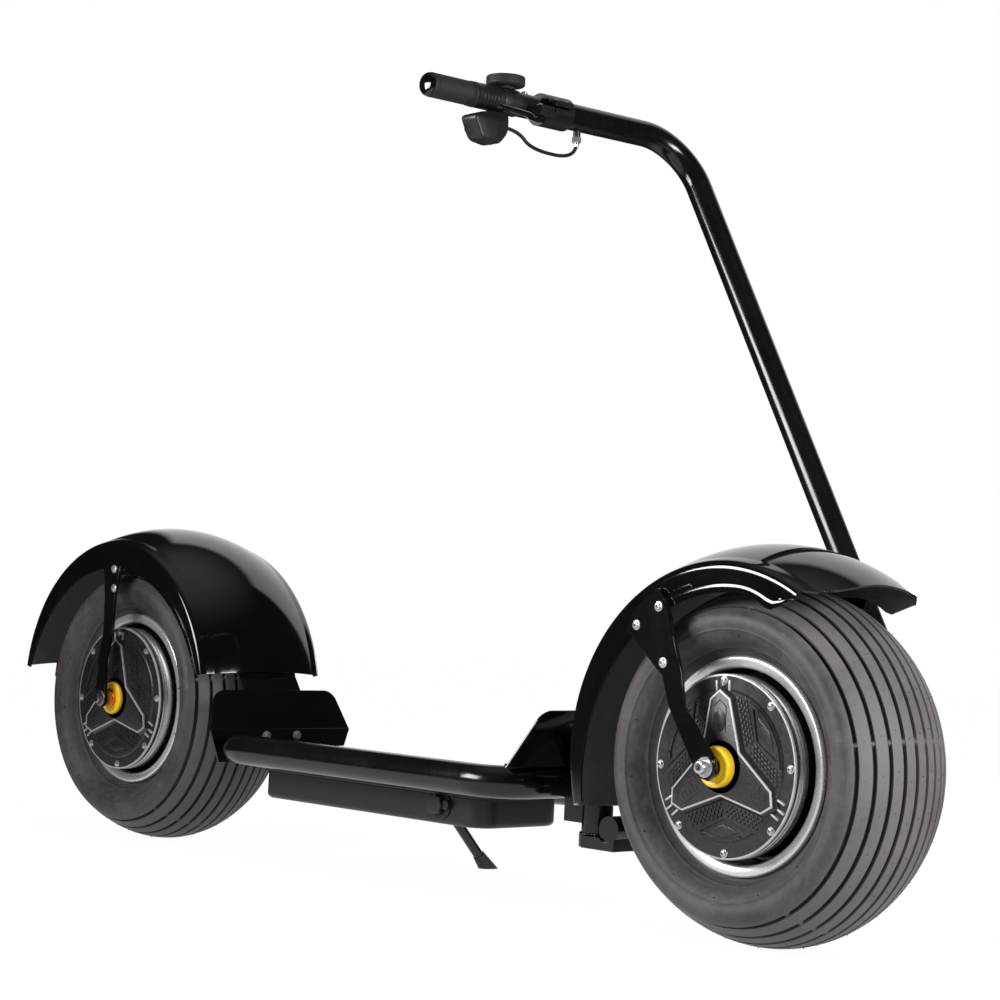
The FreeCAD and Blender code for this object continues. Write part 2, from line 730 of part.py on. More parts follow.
def main_tube():
    """One bent tube round the deck, whose low left side runs on to the rear dropout."""
    s = size
    right, left = -s["main_tube_right"], s["main_tube_left"]
    high, low = s["main_tube_height"], s["main_tube_low"]
    front, rear = s["front_run"], -s["rear_run"]
    bend = s["corner_bend"].value
    loop = bent_path([spot(rear, left, low), spot(rear, right, high), spot(front, right, high),
                      spot(front, left, high), spot(front - 140, left, low), spot(0, left, low)],
                     [bend, bend, bend, 160])
    tail = bent_path([spot(0, left, low), spot(rear - 150, left, low), rear_dropout_end()], [120])
    radius = s["main_tube_radius"].value
    return keep(made("main_tube", tube(loop, radius).fuse(tube(tail, radius)).removeSplitter()))


def rear_dropout_end():
    return spot(rear_axle + 52, size["main_tube_left"], axle_height - 18)


def deck_board():
    part = body("deck_board")
    s = size
    flat = sketch_on(part, "XY_Plane", "DeckOutline")
    half = s["deck_half_width"]
    outline(flat, [(-s["deck_rear"], -half), (s["deck_front"], -half), (s["deck_front"], half),
                   (-s["deck_rear"], half)])
    board = pad(part, flat, s["board_thickness"])
    fillet(part, board, upright, Size(34))
    return keep(place(part, zero, zero, s["deck_top"] - s["board_thickness"]))


def battery_box():
    """The box under the deck, and the flange that carries it between the tubes."""
    part = body("battery_shell")
    s = size
    seat = s["deck_top"] - s["board_thickness"]
    top = seat - s["tray_thickness"]
    flat = sketch_on(part, "XY_Plane", "BoxOutline")
    half = s["box_half_width"]
    outline(flat, [(-s["box_rear"], -half), (s["box_front"], -half), (s["box_front"], half),
                   (-s["box_rear"], half)])
    box = pad(part, flat, top - s["box_bottom"])
    rounded = fillet(part, box, upright, s["box_corner"])
    fillet(part, rounded, lambda edge, middle: abs(middle.z) < 1e-6, Size(7))
    place(part, zero, zero, s["box_bottom"])
    radius = s["main_tube_radius"]
    rise = s["main_tube_height"] - seat
    reach = root(radius * radius - rise * rise) + s["seat_gap"]
    tray = body("tray_flange")
    flat = sketch_on(tray, "XY_Plane", "TrayOutline")
    right = -s["main_tube_right"] + reach
    left = s["main_tube_left"] - radius - s["seat_gap"]
    front = s["front_run"] - reach
    rear = -s["rear_run"] + radius + s["seat_gap"]
    outline(flat, [(rear, right), (front, right), (front, left), (rear, left)])
    flange = pad(tray, flat, s["tray_thickness"])
    fillet(tray, flange, upright, s["corner_bend"] - reach)
    place(tray, zero, zero, top)
    return keep(join("battery_box", [part, tray]))


def bulkhead(label, fold_x, lean, height, top_half, foot):
    """A bent plate: a leaning panel above the fold and a foot below or behind it."""
    s = size
    half = s["plate_half_width"]
    thick = s["plate_thickness"]
    slope = math.degrees(math.atan2(lean.value, height.value))
    tall = Size(math.hypot(lean.value, height.value))
    part = body(label + "_panel")
    panel = sketch_on(part, "YZ_Plane", "PanelOutline")
    outline(panel, [(-half, zero), (half, zero), (top_half, tall), (-top_half, tall)])
    sheet_metal = pad(part, panel, thick)
    fillet(part, sheet_metal,
           lambda edge, middle: middle.z > tall.value - 1 and abs(middle.y) > top_half.value - 1,
           Size(24))
    place(part, fold_x, zero, s["fold_height"], Vector(0, 1, 0), Size(slope))
    return keep(join(label, [part, foot]))


def rear_bulkhead():
    s = size
    thick = s["plate_thickness"]
    front = -s["rear_run"] - s["main_tube_radius"]
    part = body("rear_bulkhead_foot")
    panel = sketch_on(part, "YZ_Plane", "FootOutline")
    half = s["plate_half_width"]
    outline(panel, [(-half, 2), (-half, zero), (-half + 18, -48), (104, -48), (104, -26),
                    (half - 9, -26), (half, zero), (half, 2)])
    pad(part, panel, thick)
    place(part, front - thick, zero, s["fold_height"])
    return bulkhead("rear_bulkhead", front - thick, -s["plate_lean"], s["plate_height"],
                    s["plate_top_half_width"], part)


def front_bulkhead():
    s = size
    thick = s["plate_thickness"]
    half = s["plate_half_width"]
    fold = s["front_run"] + 15
    foot = block("front_bulkhead_foot", (s["front_run"] - 12, -half + 22, s["fold_height"]),
                 (fold, half - 22, s["fold_height"] + thick))
    return bulkhead("front_bulkhead", fold - thick, s["front_plate_lean"], s["front_plate_height"],
                    s["front_plate_top_half_width"], foot)


def steering_head():
    s = size
    x = s["head_position"]
    shell = cylinder("head_shell", s["head_radius"], s["head_top"] - s["head_bottom"], x, zero,
                     s["head_bottom"])
    gusset = block("head_gusset", (s["front_run"] + 8, -17, s["head_bottom"] + 14),
                   (x, 17, s["head_top"] - 6))
    solid = join("head_solid", [shell, gusset])
    saddle = cross_cylinder("head_saddle", s["main_tube_radius"], Size(-40), Size(40),
                            s["front_run"], s["main_tube_height"])
    bore = cylinder("head_bore", s["kingpin_radius"] + s["spin_gap"],
                    s["head_top"] - s["head_bottom"] + 2, x, zero, s["head_bottom"] - 1)
    tools = join("head_cuts", [saddle, bore])
    return keep(cut("steering_head", solid, tools))


def rear_dropout():
    s = size
    y = s["main_tube_left"] - s["dropout_thickness"] / 2
    corners = [(56, -40), (56, 6), (24, 22), (8, 30), (-14, 28), (-28, 12), (-28, -12), (-12, -28),
               (10, -32)]
    plate = slab("rear_dropout_plate",
                 [(rear_axle + u, axle_height + v) for u, v in corners], y, s["dropout_thickness"])
    end = rear_dropout_end()
    bend = spot(-s["rear_run"] - 150, s["main_tube_left"], s["main_tube_low"])
    tool = made("dropout_trim", Part.makeCylinder(60, 120, end, (bend - end).normalize()))
    trimmed = cut("rear_dropout_trimmed", plate, tool)
    return keep(bored("rear_dropout", trimmed, rear_axle, axle_height, s["axle_radius"], y - 1,
                      y + s["dropout_thickness"] + 1))


def rear_fender_bracket():
    """A strap from the rear bulkhead's back up into the fender's front lip."""
    s = size
    thick = 3
    slope = s["plate_lean"] / s["plate_height"]
    back = -s["rear_run"] - s["main_tube_radius"] - s["plate_thickness"]
    low = s["fold_height"] + 40
    top = s["fold_height"] + 58
    low_x = back - slope * 40
    top_x = back - slope * 58
    inside = s["fender_radius"] - s["fender_wall"] - 4.2
    reach = []
    for beyond, lower in ((-1, 4), (12, 0)):
        angle = s["rear_fender_low"] + beyond
        radius = inside - lower
        reach.append((rear_axle + radius * cosine(angle), axle_height + radius * sine(angle)))
    corners = [(low_x, low), (top_x, top), reach[0], reach[1],
               (reach[1][0] - thick, reach[1][1]), (reach[0][0] - thick, reach[0][1]),
               (top_x - thick, top), (low_x - thick, low)]
    return keep(slab("rear_fender_bracket", corners, Size(-55), Size(110)))


def charge_port():
    s = size
    x, z = Size(114), Size(130)
    wall = -s["box_half_width"]
    cap = cross_cylinder("port_cap", Size(13), wall - 10, wall, x, z)
    small = cross_cylinder("port_fuse", Size(6.5), wall - 7, wall, x + 21, z + 1)
    base = cross_cylinder("port_base", Size(20), wall - 2, wall, x + 6, z)
    return keep(join("charge_port", [cap, small, base]))


def rear_reflector():
    s = size
    angle = s["rear_fender_high"]
    height = 24
    depth = 9
    outer = s["fender_radius"] - s["fender_wall"]
    x = rear_axle + outer * cosine(angle) - height * sine(angle)
    z = axle_height + outer * sine(angle) + height * cosine(angle)
    lens = doc.addObject("Part::Box", "rear_reflector")
    bind(lens, Length=depth, Width=84, Height=height)
    return keep(place(lens, x, -42, z, Vector(0, 1, 0), 180 - angle))


def stand():
    """The side stand: a lug under the left tube with its bolt, the leg, and the rubber foot.
    Each is drawn in the leg's own frame: Y along the leg, Z along the hinge bolt."""
    s = size
    x, y, z = s["stand_position"], s["main_tube_left"] + 4, s["stand_pivot_height"]
    reach = s["stand_foot_reach"]
    slope = -arctangent(z / reach)
    length = root(z * z + reach * reach)
    leg_radius = s["stand_leg_radius"]
    eye_radius = leg_radius + 3
    bolt_radius = s["stand_bolt_radius"]
    foot_start = length - 30

    lug_body = body("stand_lug")
    flat = sketch_on(lug_body, "XY_Plane", "LugOutline")
    lift_sketch(flat, leg_radius + 0.3)
    outline(flat, [(-14, -40), (14, -40), (14, 4), (8, 12), (-8, 12), (-14, 4)])
    pad(lug_body, flat, Size(6))
    bolt = sketch_on(lug_body, "XY_Plane", "Bolt")
    lift_sketch(bolt, -leg_radius - 3)
    circle_on(bolt, zero, zero, bolt_radius)
    pad(lug_body, bolt, leg_radius * 2 + 10)
    place(lug_body, x, y, z, Vector(1, 0, 0), slope)
    tube_space = cylinder("stand_saddle", s["main_tube_radius"], Size(80), x - 40,
                          s["main_tube_left"], s["main_tube_low"], Vector(0, 1, 0), Size(90))
    keep(cut("stand_bracket", lug_body, tube_space))

    leg = body("stand_leg")
    rod = sketch_on(leg, "XZ_Plane", "RodSection")
    circle_on(rod, zero, zero, leg_radius)
    pad(leg, rod, foot_start, reverse=True)
    eye = sketch_on(leg, "XY_Plane", "EyeOutline")
    circle_on(eye, zero, zero, eye_radius)
    pad(leg, eye, leg_radius * 2, both_ways=True)
    hole = sketch_on(leg, "XY_Plane", "EyeHole")
    circle_on(hole, zero, zero, bolt_radius + s["spin_gap"])
    pocket(leg, hole, leg_radius * 3, both_ways=True)
    keep(place(leg, x, y, z, Vector(1, 0, 0), slope))

    rubber = body("stand_rubber")
    profile = sketch_on(rubber, "XY_Plane", "RubberProfile")
    outline(profile, [(zero, foot_start), (leg_radius + 1, foot_start),
                      (leg_radius + 6, length + 12), (zero, length + 12)])
    turned = rubber.newObject("PartDesign::Revolution", "Revolution")
    turned.Profile = profile
    turned.ReferenceAxis = (profile, ["V_Axis"])
    bind(turned, Angle=360)
    place(rubber, x, y, z, Vector(1, 0, 0), slope)
    floor = block("floor_space", (x - 60, y + reach - 60, -60), (x + 60, y + reach + 60, zero))
    keep(cut("stand_foot", rubber, floor))


# Steered front end


def arm_height():
    """Height of the fork arm's cross run: it lies part way into the yoke plate."""
    s = size
    return s["head_bottom"] - s["yoke_gap"] + s["arm_tube_radius"] - 6


def arm_end():
    return spot(front_axle - 56, size["handle_side"], axle_height - 20)


def steering_yoke():
    s = size
    x = s["head_position"]
    low = s["head_bottom"] - s["yoke_gap"] - s["yoke_thickness"]
    forward = s["arm_forward"] + 14
    solid = block("yoke_block", (x, -30, low), (forward, 30, low + s["yoke_thickness"]))
    groove = cross_cylinder("yoke_groove", s["arm_tube_radius"], Size(-40), Size(40),
                            s["arm_forward"], arm_height())
    plate = cut("yoke_plate", solid, groove)
    round_end = cylinder("yoke_round", Size(24), s["yoke_thickness"], x, zero, low)
    pin = cylinder("kingpin", s["kingpin_radius"], s["head_top"] - low + 8, x, zero, low)
    cap = cylinder("kingpin_cap", Size(19), Size(6), x, zero, s["head_top"] + s["yoke_gap"])
    return keep(join("steering_yoke", [plate, round_end, pin, cap]))


def fork_arm():
    s = size
    z = arm_height()
    path = bent_path([spot(s["arm_forward"], -26, z), spot(s["arm_forward"], s["handle_side"], z),
                      arm_end()], [46])
    return keep(made("fork_arm", tube(path, s["arm_tube_radius"].value)))


def handle_line():
    """Foot, bend and open end of the handle tube's centre line."""
    s = size
    foot = spot(front_axle + s["handle_foot_ahead"], s["handle_side"], s["handle_foot_height"])
    rise = s["crossbar_height"].value - foot.z
    back = rise * math.tan(math.radians(s["handle_rake"].value))
    bend = Vector(foot.x - back, foot.y, foot.z + rise)
    end = Vector(bend.x, -s["crossbar_end"].value, bend.z)
    return foot, bend, end


def handle_tube():
    foot, bend, end = handle_line()
    path = bent_path([foot, bend, end], [size["handle_bend"].value])
    return keep(made("handle_tube", tube(path, size["handle_radius"].value)))


def knuckle():
    """The plate that joins the fork arm, the axle's left end and the handle's foot."""
    s = size
    y = s["handle_side"] - s["dropout_thickness"] / 2
    corners = [(-62, -46), (-2, -30), (40, -16), (92, 4), (148, 22), (112, 60), (52, 42), (10, 31),
               (-16, 27), (-74, 12)]
    plate = slab("knuckle_plate", [(front_axle + u, axle_height + v) for u, v in corners], y,
                 s["dropout_thickness"])
    foot, top, end = handle_line()
    up = (top - foot).normalize()
    handle_space = made("knuckle_handle_trim", Part.makeCylinder(60, 200, foot, up))
    bend = spot(s["arm_forward"], s["handle_side"], arm_height())
    back = (bend - arm_end()).normalize()
    arm_space = made("knuckle_arm_trim", Part.makeCylinder(60, 200, arm_end(), back))
    trimmed = cut("knuckle_trimmed", plate, join("knuckle_trims", [handle_space, arm_space]))
    return keep(bored("knuckle", trimmed, front_axle, axle_height, s["axle_radius"], y - 1,
                      y + s["dropout_thickness"] + 1))


def handlebar_controls():
    """Everything on the crossbar's right end, along -Y."""
    s = size
    foot, bend, end = handle_line()
    x = Size(bend.x)
    z = Size(bend.z)
    bar = s["inner_bar_radius"]
    end_y = -s["crossbar_end"]

    keep(cross_cylinder("inner_bar", bar, -s["inner_bar_end"], end_y, x, z))

    ring = cross_cylinder("clamp_ring", s["handle_radius"] + 4, end_y - 36, end_y + 12, x, z)
    ears = block("clamp_ears", (x + 12, end_y - 36, z - 9), (x + 34, end_y - 4, z + 9))
    slot = block("clamp_slot", (x + 12, end_y - 40, z - 1.5), (x + 40, end_y, z + 1.5))
    big = cross_cylinder("clamp_bore", s["handle_radius"], end_y, end_y + 14, x, z)
    small = cross_cylinder("clamp_bar_bore", bar, end_y - 40, end_y + 1, x, z)
    keep(cut("tube_clamp", join("clamp_solid", [ring, ears]), join("clamp_cuts", [slot, big, small])))

    perch_y = Size(-184)
    perch_ring = cross_cylinder("perch_ring", bar + 5, perch_y, perch_y + 32, x, z)
    perch_arm = block("perch_arm", (x + 6, perch_y + 8, z - 18), (x + 44, perch_y + 32, z - 4))
    perch_bore = cross_cylinder("perch_bore", bar, perch_y - 1, perch_y + 33, x, z)
    keep(cut("brake_perch", join("perch_solid", [perch_ring, perch_arm]), perch_bore))

    blade = [(24, -168), (50, -168), (56, -200), (62, -262), (56, -270), (48, -264), (46, -204),
             (24, -190)]
    flat = doc.addObject("Sketcher::SketchObject", "lever_outline")
    outline(flat, [(x + u, Size(v)) for u, v in blade])
    lever = extruded("brake_lever", flat, Vector(0, 0, 1), Size(9))
    keep(place(lever, zero, zero, z - 27.2))

    collar = cross_cylinder("throttle_collar", Size(17.8), Size(-216), Size(-184.4), x, z)
    sleeve = cross_cylinder("throttle_sleeve", Size(17), Size(-262), Size(-216), x, z)
    bore = cross_cylinder("throttle_bore", bar, Size(-263), Size(-184), x, z)
    keep(cut("throttle", join("throttle_solid", [collar, sleeve]), bore))

    grip_tube = cross_cylinder("grip_tube", s["grip_radius"], -s["inner_bar_end"] - 4, Size(-262),
                               x, z)
    grip_bore = cross_cylinder("grip_bore", bar, -s["inner_bar_end"], Size(-261), x, z)
    keep(cut("grip", grip_tube, grip_bore))

    puck = cylinder("gauge_puck", Size(26), Size(14), x + 2, Size(-204), z + 19)
    stalk = block("gauge_stalk", (x - 8, -212, z + 18.1), (x + 12, -196, z + 20))
    keep(join("gauge", [puck, stalk]))

    housing = [(-268, -28), (-238, -18.2), (-206, -18.2), (-206, -44), (-222, -62), (-252, -58)]
    keep(rear_profile("horn_switch", [(Size(u), z + v) for u, v in housing], x - 15, Size(30)))

    gland_y = Size(-66)
    stem = cylinder("gland_stem", Size(5), Size(22), x, gland_y, z - 34)
    tube_space = cross_cylinder("gland_saddle", s["handle_radius"], gland_y - 20, gland_y + 20,
                                x, z)
    keep(cut("cable_gland", stem, tube_space))

    cable = bent_path([spot(x, -206, z - 34), spot(x, -176, z - 34), spot(x, -150, z - 56),
                       spot(x, gland_y, z - 56), spot(x, gland_y, z - 34)], [20, 20, 16])
    keep(made("switch_cable", tube(cable, 2.5)))


def brake_disc():
    s = size
    start = s["hub_left"] + s["left_boss_width"]
    solid = cross_cylinder("disc_solid", s["disc_radius"], start, start + s["disc_thickness"],
                           front_axle, axle_height)
    return keep(bored("brake_disc", solid, front_axle, axle_height, s["collar_radius"] + 3,
                      start - 1, start + 10))


def brake_caliper():
    """A block on the knuckle that straddles the disc."""
    s = size
    disc_start = s["hub_left"] + s["left_boss_width"]
    disc_end = disc_start + s["disc_thickness"]
    inner_face = s["handle_side"] - s["dropout_thickness"] / 2
    x, z = front_axle + 62, axle_height + 30
    solid = block("caliper_block", (x - 18, disc_start - 11, z - 20), (x + 22, inner_face, z + 20))
    slot = cross_cylinder("caliper_slot", s["disc_radius"] + 3, disc_start - 1.5, disc_end + 1.5,
                          front_axle, axle_height)
    return keep(cut("brake_caliper", solid, slot))


for name, x in (("front", front_axle), ("rear", rear_axle)):
    tyre(f"{name}_tyre", x)
    rim(f"{name}_rim", x)
    hub(f"{name}_hub", x)
    hub_cover(f"{name}_hub_cover", x)
    bushing(f"{name}_bushing", x, size[f"{name}_bushing_width"])

fender_side = size["fender_half_width"]
knuckle_inner = size["handle_side"] - size["dropout_thickness"] / 2
dropout_outer = size["main_tube_left"] + size["dropout_thickness"] / 2
axle_right_end = fender_side + size["stay_offset"] + size["stay_thickness"]
spindle("front_axle", front_axle, axle_right_end, knuckle_inner,
        knuckle_inner + size["dropout_thickness"])
spindle("rear_axle", rear_axle, axle_right_end, fender_side, dropout_outer)
brake_disc()
brake_caliper()

front_fender()
rear_fender()
rear_stays()
front_stays()
rear_fender_bracket()

main_tube()
deck_board()
battery_box()
rear_bulkhead()
front_bulkhead()
steering_head()
rear_dropout()
charge_port()
rear_reflector()
stand()

steering_yoke()
fork_arm()
knuckle()
handle_tube()
handlebar_controls()

doc.recompute()

faults = [thing.Name for thing in doc.Objects
          if any(word in thing.State for word in ("Invalid", "Error"))]
if faults:
    raise SystemExit(f"failed objects: {faults}")
for thing in nodes:
    if thing.Shape.isNull() or not thing.Shape.isValid() or not thing.Shape.Solids:
        raise SystemExit(f"bad shape: {thing.Label}")

os.makedirs("parts", exist_ok=True)
for thing in nodes:
    thing.Shape.exportStep(f"parts/{thing.Label}.step")
    print(thing.Label, len(thing.Shape.Solids), round(thing.Shape.Volume / 1000, 1), "cm3")
print(len(nodes), "pieces")
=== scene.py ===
# %% [markdown]
# # Electric chopper scooter
#
# A low deck between two fat wheels, steered by one bent tube. This notebook dresses the CAD
# model for a studio picture. The CAD model stays where it is and is the frame: every new piece
# is made in its coordinates and rides on one of its bodies.
#
# Tools: numpy makes whole arrays of points, and Blender turns them into meshes.

import bmesh
import bpy
import numpy as np
from mathutils import Matrix


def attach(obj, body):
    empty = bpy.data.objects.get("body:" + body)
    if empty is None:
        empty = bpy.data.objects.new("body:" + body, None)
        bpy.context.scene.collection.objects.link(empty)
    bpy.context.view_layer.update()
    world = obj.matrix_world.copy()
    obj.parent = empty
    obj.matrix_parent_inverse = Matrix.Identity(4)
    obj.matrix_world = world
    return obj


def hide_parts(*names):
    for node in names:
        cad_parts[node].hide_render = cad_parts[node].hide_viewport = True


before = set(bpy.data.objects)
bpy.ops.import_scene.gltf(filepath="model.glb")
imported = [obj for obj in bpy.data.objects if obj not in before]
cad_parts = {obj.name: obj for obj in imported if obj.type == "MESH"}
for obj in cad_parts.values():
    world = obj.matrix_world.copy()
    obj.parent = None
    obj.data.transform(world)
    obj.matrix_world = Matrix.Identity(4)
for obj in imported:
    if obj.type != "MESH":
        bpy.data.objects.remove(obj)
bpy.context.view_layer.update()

MM = 0.001
WHEELS = {"front": 0.655, "rear": -0.655}  # each axle's place along X, in metres
AXLE_HEIGHT = 0.229

# %% [markdown]
# ## Camera
#
# The picture shows the right side from ahead, at the height of the tyres' tops, through a long
# lens. A camera could be moved by eye until the picture looks right. This one was found by
# fitting the two wheel rims and the tyre outlines to circles of known size, so a length in the
# picture is a length on the scooter. A camera looks along its own -Z, so its matrix holds the
# directions right, up and minus ahead as columns.

# %% Camera
LENS, SENSOR = 88.04, 36.0                      # millimetres
CAMERA_PLACE = np.array([2.66518, -2.38625, 0.44215])
CAMERA_TURN = [136.799, 1.961, 2.591]          # yaw, pitch and roll in degrees

scene = bpy.context.scene
camera_data = bpy.data.cameras.new("camera")
camera_data.lens = LENS
camera_data.sensor_width = SENSOR
camera = bpy.data.objects.new("camera", camera_data)
scene.collection.objects.link(camera)
scene.camera = camera

yaw, pitch, roll = np.radians(CAMERA_TURN)
ahead = np.array([np.cos(pitch) * np.cos(yaw), np.cos(pitch) * np.sin(yaw), np.sin(pitch)])
level_right = np.cross(ahead, [0, 0, 1])
level_right /= np.linalg.norm(level_right)
level_up = np.cross(level_right, ahead)
right = level_right * np.cos(roll) + level_up * np.sin(roll)
up = -level_right * np.sin(roll) + level_up * np.cos(roll)
pose = np.eye(4)
pose[:3, 0], pose[:3, 1], pose[:3, 2] = right, up, -ahead
pose[:3, 3] = CAMERA_PLACE
camera.matrix_world = Matrix(pose.tolist())
bpy.context.view_layer.update()
print("camera at", CAMERA_PLACE.tolist())

# %% [markdown]
# ## Shapes from arrays
#
# Screws, rims, tyres and levers are all simple surfaces: a profile turned about an axis, an
# outline given height, a section carried along a path. Blender's modifiers can do each of them,
# but then the piece hangs on a stack of settings. Here each is worked out as an array.
#
# A *form* is a tuple: points (N, 3), a list of face arrays, and one number a point that a
# material can read. Most forms are grids: rows of points, joined to the next row by quads.
# The same few makers give every piece here, so each piece is only a short table of numbers, in
# millimetres.

# %% Makers of forms


def grid_faces(rows, columns, close_rows=False, close_columns=False):
    """Quads between neighbouring points of a grid numbered row by row; a closed direction also
    joins its last line to its first."""
    row, column = np.meshgrid(np.arange(rows if close_rows else rows - 1),
                              np.arange(columns if close_columns else columns - 1), indexing="ij")
    next_row, next_column = (row + 1) % rows, (column + 1) % columns
    corners = [row * columns + column, row * columns + next_column,
               next_row * columns + next_column, next_row * columns + column]
    return np.stack(corners, -1).reshape(-1, 4)


def smoothed(corners, times=2, closed=False):
    """Corner cutting: each span a-b gives 3a/4 + b/4 and a/4 + 3b/4; open ends are kept."""
    line = np.asarray(corners, float)
    for _ in range(times):
        after = np.roll(line, -1, 0) if closed else line[1:]
        start = line if closed else line[:-1]
        cut = np.stack([start * 0.75 + after * 0.25, start * 0.25 + after * 0.75], 1)
        cut = cut.reshape(-1, line.shape[1])
        line = cut if closed else np.concatenate([line[:1], cut[1:-1], line[-1:]])
    return line


def lathe(profile, turns=192, ring=True):
    """Each profile point (w, r) becomes a circle (r cos t, r sin t, w). A ring's profile is a
    closed loop; otherwise both its ends lie on the axis."""
    profile = np.asarray(profile, float)
    t = np.arange(turns) * 2 * np.pi / turns
    w, r = profile[:, :1], profile[:, 1:2]
    points = np.stack([r * np.cos(t), r * np.sin(t), w + 0 * t], -1)
    length = np.concatenate([[0], np.cumsum(np.linalg.norm(np.diff(profile, axis=0), axis=1))])
    marks = np.repeat(length, turns)
    return points.reshape(-1, 3), [grid_faces(len(profile), turns, ring, True)], marks


def head(rings, sides=36):
    """A bolt head: rings of (w, r, six). Where six is 1 the ring is a hexagon of that inner
    radius, r / cos(t folded into one side), and where it is 0 a circle."""
    rings = np.asarray(rings, float)
    t = np.arange(sides) * 2 * np.pi / sides
    folded = (t + np.pi / 6) % (np.pi / 3) - np.pi / 6
    reach = rings[:, 1:2] * (1 + rings[:, 2:3] * (1 / np.cos(folded) - 1))
    points = np.stack([reach * np.cos(t), reach * np.sin(t), rings[:, :1] + 0 * t], -1)
    return (points.reshape(-1, 3), [grid_faces(len(rings), sides, False, True)],
            np.zeros(rings.shape[0] * sides))


def offset(outline, distance):
    """A closed outline moved outwards by a distance, each corner along its mitre: the sum of
    the two edge normals times distance / (1 + their dot product)."""
    area = np.sum(outline[:, 0] * np.roll(outline[:, 1], -1)
                  - np.roll(outline[:, 0], -1) * outline[:, 1])
    after = np.roll(outline, -1, 0) - outline
    after /= np.linalg.norm(after, axis=1, keepdims=True)
    before = np.roll(after, 1, 0)
    normals = [np.stack([edge[:, 1], -edge[:, 0]], -1) * np.sign(area) for edge in (before, after)]
    reach = distance / (1 + np.sum(normals[0] * normals[1], axis=1, keepdims=True))
    return outline + (normals[0] + normals[1]) * reach


def stacked(loops, heights, capped=True):
    """Equal closed outlines at rising heights, joined by quads. Caps close both ends; without
    caps the last loop joins the first, as in a frame with a hole."""
    count = len(loops[0])
    points = np.concatenate([np.column_stack([loop, np.full(count, height)])
                             for loop, height in zip(loops, heights)])
    faces = [grid_faces(len(loops), count, not capped, True)]
    if capped:
        last = count * (len(loops) - 1)
        faces.append(np.stack([np.arange(count)[::-1], np.arange(count) + last]))
    return points, faces, np.zeros(len(points))


def prism(outline, low, high, edge=0.0):
    """An outline given height, with its upper rim rounded off over the width of edge."""
    outline = np.asarray(outline, float)
    if not edge:
        return stacked([outline, outline], [low, high])
    t = np.radians([0, 30, 60, 90])
    loops = [outline] + [offset(outline, -edge * (1 - np.cos(a))) for a in t]
    return stacked(loops, [low] + [high - edge * (1 - np.sin(a)) for a in t])


def rounded(corners, radius, steps=5):
    """A closed outline whose corners are quadratic curves, (1-t)^2 a + 2t(1-t) c + t^2 b,
    between the points a and b that lie a radius away from the corner c."""
    corners = np.asarray(corners, float)
    sides = np.roll(corners, 1, 0) - corners, np.roll(corners, -1, 0) - corners
    lengths = [np.linalg.norm(side, axis=1, keepdims=True) for side in sides]
    a, b = [corners + side * np.minimum(radius / long, 0.48)
            for side, long in zip(sides, lengths)]
    t = np.linspace(0, 1, steps)[None, :, None]
    curve = (1 - t) ** 2 * a[:, None] + 2 * t * (1 - t) * corners[:, None] + t ** 2 * b[:, None]
    return curve.reshape(-1, 2)


def swept(path, radius, sides=24, side_axis=(0, 0, 1), squash=1.0):
    """A round section carried along a path. Its first axis is side_axis less its part along
    the path; squash flattens the section along that axis."""
    path = np.asarray(path, float)
    along = np.gradient(path, axis=0)
    along /= np.linalg.norm(along, axis=1, keepdims=True)
    first = np.asarray(side_axis, float) - along * (along @ np.asarray(side_axis, float))[:, None]
    first /= np.linalg.norm(first, axis=1, keepdims=True)
    second = np.cross(along, first)
    t = np.arange(sides) * 2 * np.pi / sides
    radius = np.broadcast_to(np.asarray(radius, float), (len(path),))[:, None, None]
    ring = (np.cos(t)[None, :, None] * first[:, None] * squash
            + np.sin(t)[None, :, None] * second[:, None])
    points = (path[:, None] + ring * radius).reshape(-1, 3)
    caps = np.stack([np.arange(sides)[::-1], np.arange(sides) + sides * (len(path) - 1)])
    return points, [grid_faces(len(path), sides, False, True), caps], np.zeros(len(points))


def moved(form, origin, u=(1, 0, 0), v=(0, 1, 0), w=(0, 0, 1)):
    """The form's own three coordinates laid along the directions u, v and w from an origin."""
    points, faces, marks = form
    return points @ np.array([u, v, w], float) + np.asarray(origin, float), faces, marks


def joined(forms):
    """One form from several, with the face numbers shifted past the points before them."""
    points, faces, marks, first = [], [], [], 0
    for form_points, form_faces, form_marks in forms:
        faces += [group + first for group in form_faces]
        points.append(form_points)
        marks.append(form_marks)
        first += len(form_points)
    return np.concatenate(points), faces, np.concatenate(marks)


def turned_copies(form, count, start=0.0):
    """Copies of a form spread evenly about its w axis: x cos t - y sin t, x sin t + y cos t."""
    points, faces, marks = form
    t = np.radians(start) + np.arange(count) * 2 * np.pi / count
    turn = np.zeros((count, 3, 3))
    turn[:, 0, 0] = turn[:, 1, 1] = np.cos(t)
    turn[:, 0, 1], turn[:, 1, 0] = np.sin(t), -np.sin(t)
    turn[:, 2, 2] = 1
    shift = np.arange(count)[:, None, None] * len(points)
    return (np.einsum("ni,cij->cnj", points, turn).reshape(-1, 3),
            [(group[None] + shift).reshape(-1, group.shape[1]) for group in faces],
            np.tile(marks, count))


def copies_at(form, origins):
    """Copies of a form moved to each origin."""
    points, faces, marks = form
    origins = np.asarray(origins, float)
    shift = np.arange(len(origins))[:, None, None] * len(points)
    return ((points[None] + origins[:, None]).reshape(-1, 3),
            [(group[None] + shift).reshape(-1, group.shape[1]) for group in faces],
            np.tile(marks, len(origins)))


print("makers ready")

# %% [markdown]
# ## From a form to a piece
#
# A piece could be built in edit mode, point by point. Here the mesh is filled in one go from
# the arrays. Points that fall together, at a pole or a seam, are merged, and the normals are
# turned outwards. Edges sharper than a limit stay crisp. Each piece then rides on the body of
# the CAD model that carries it, so it moves with the joints.

# %% Makers of pieces


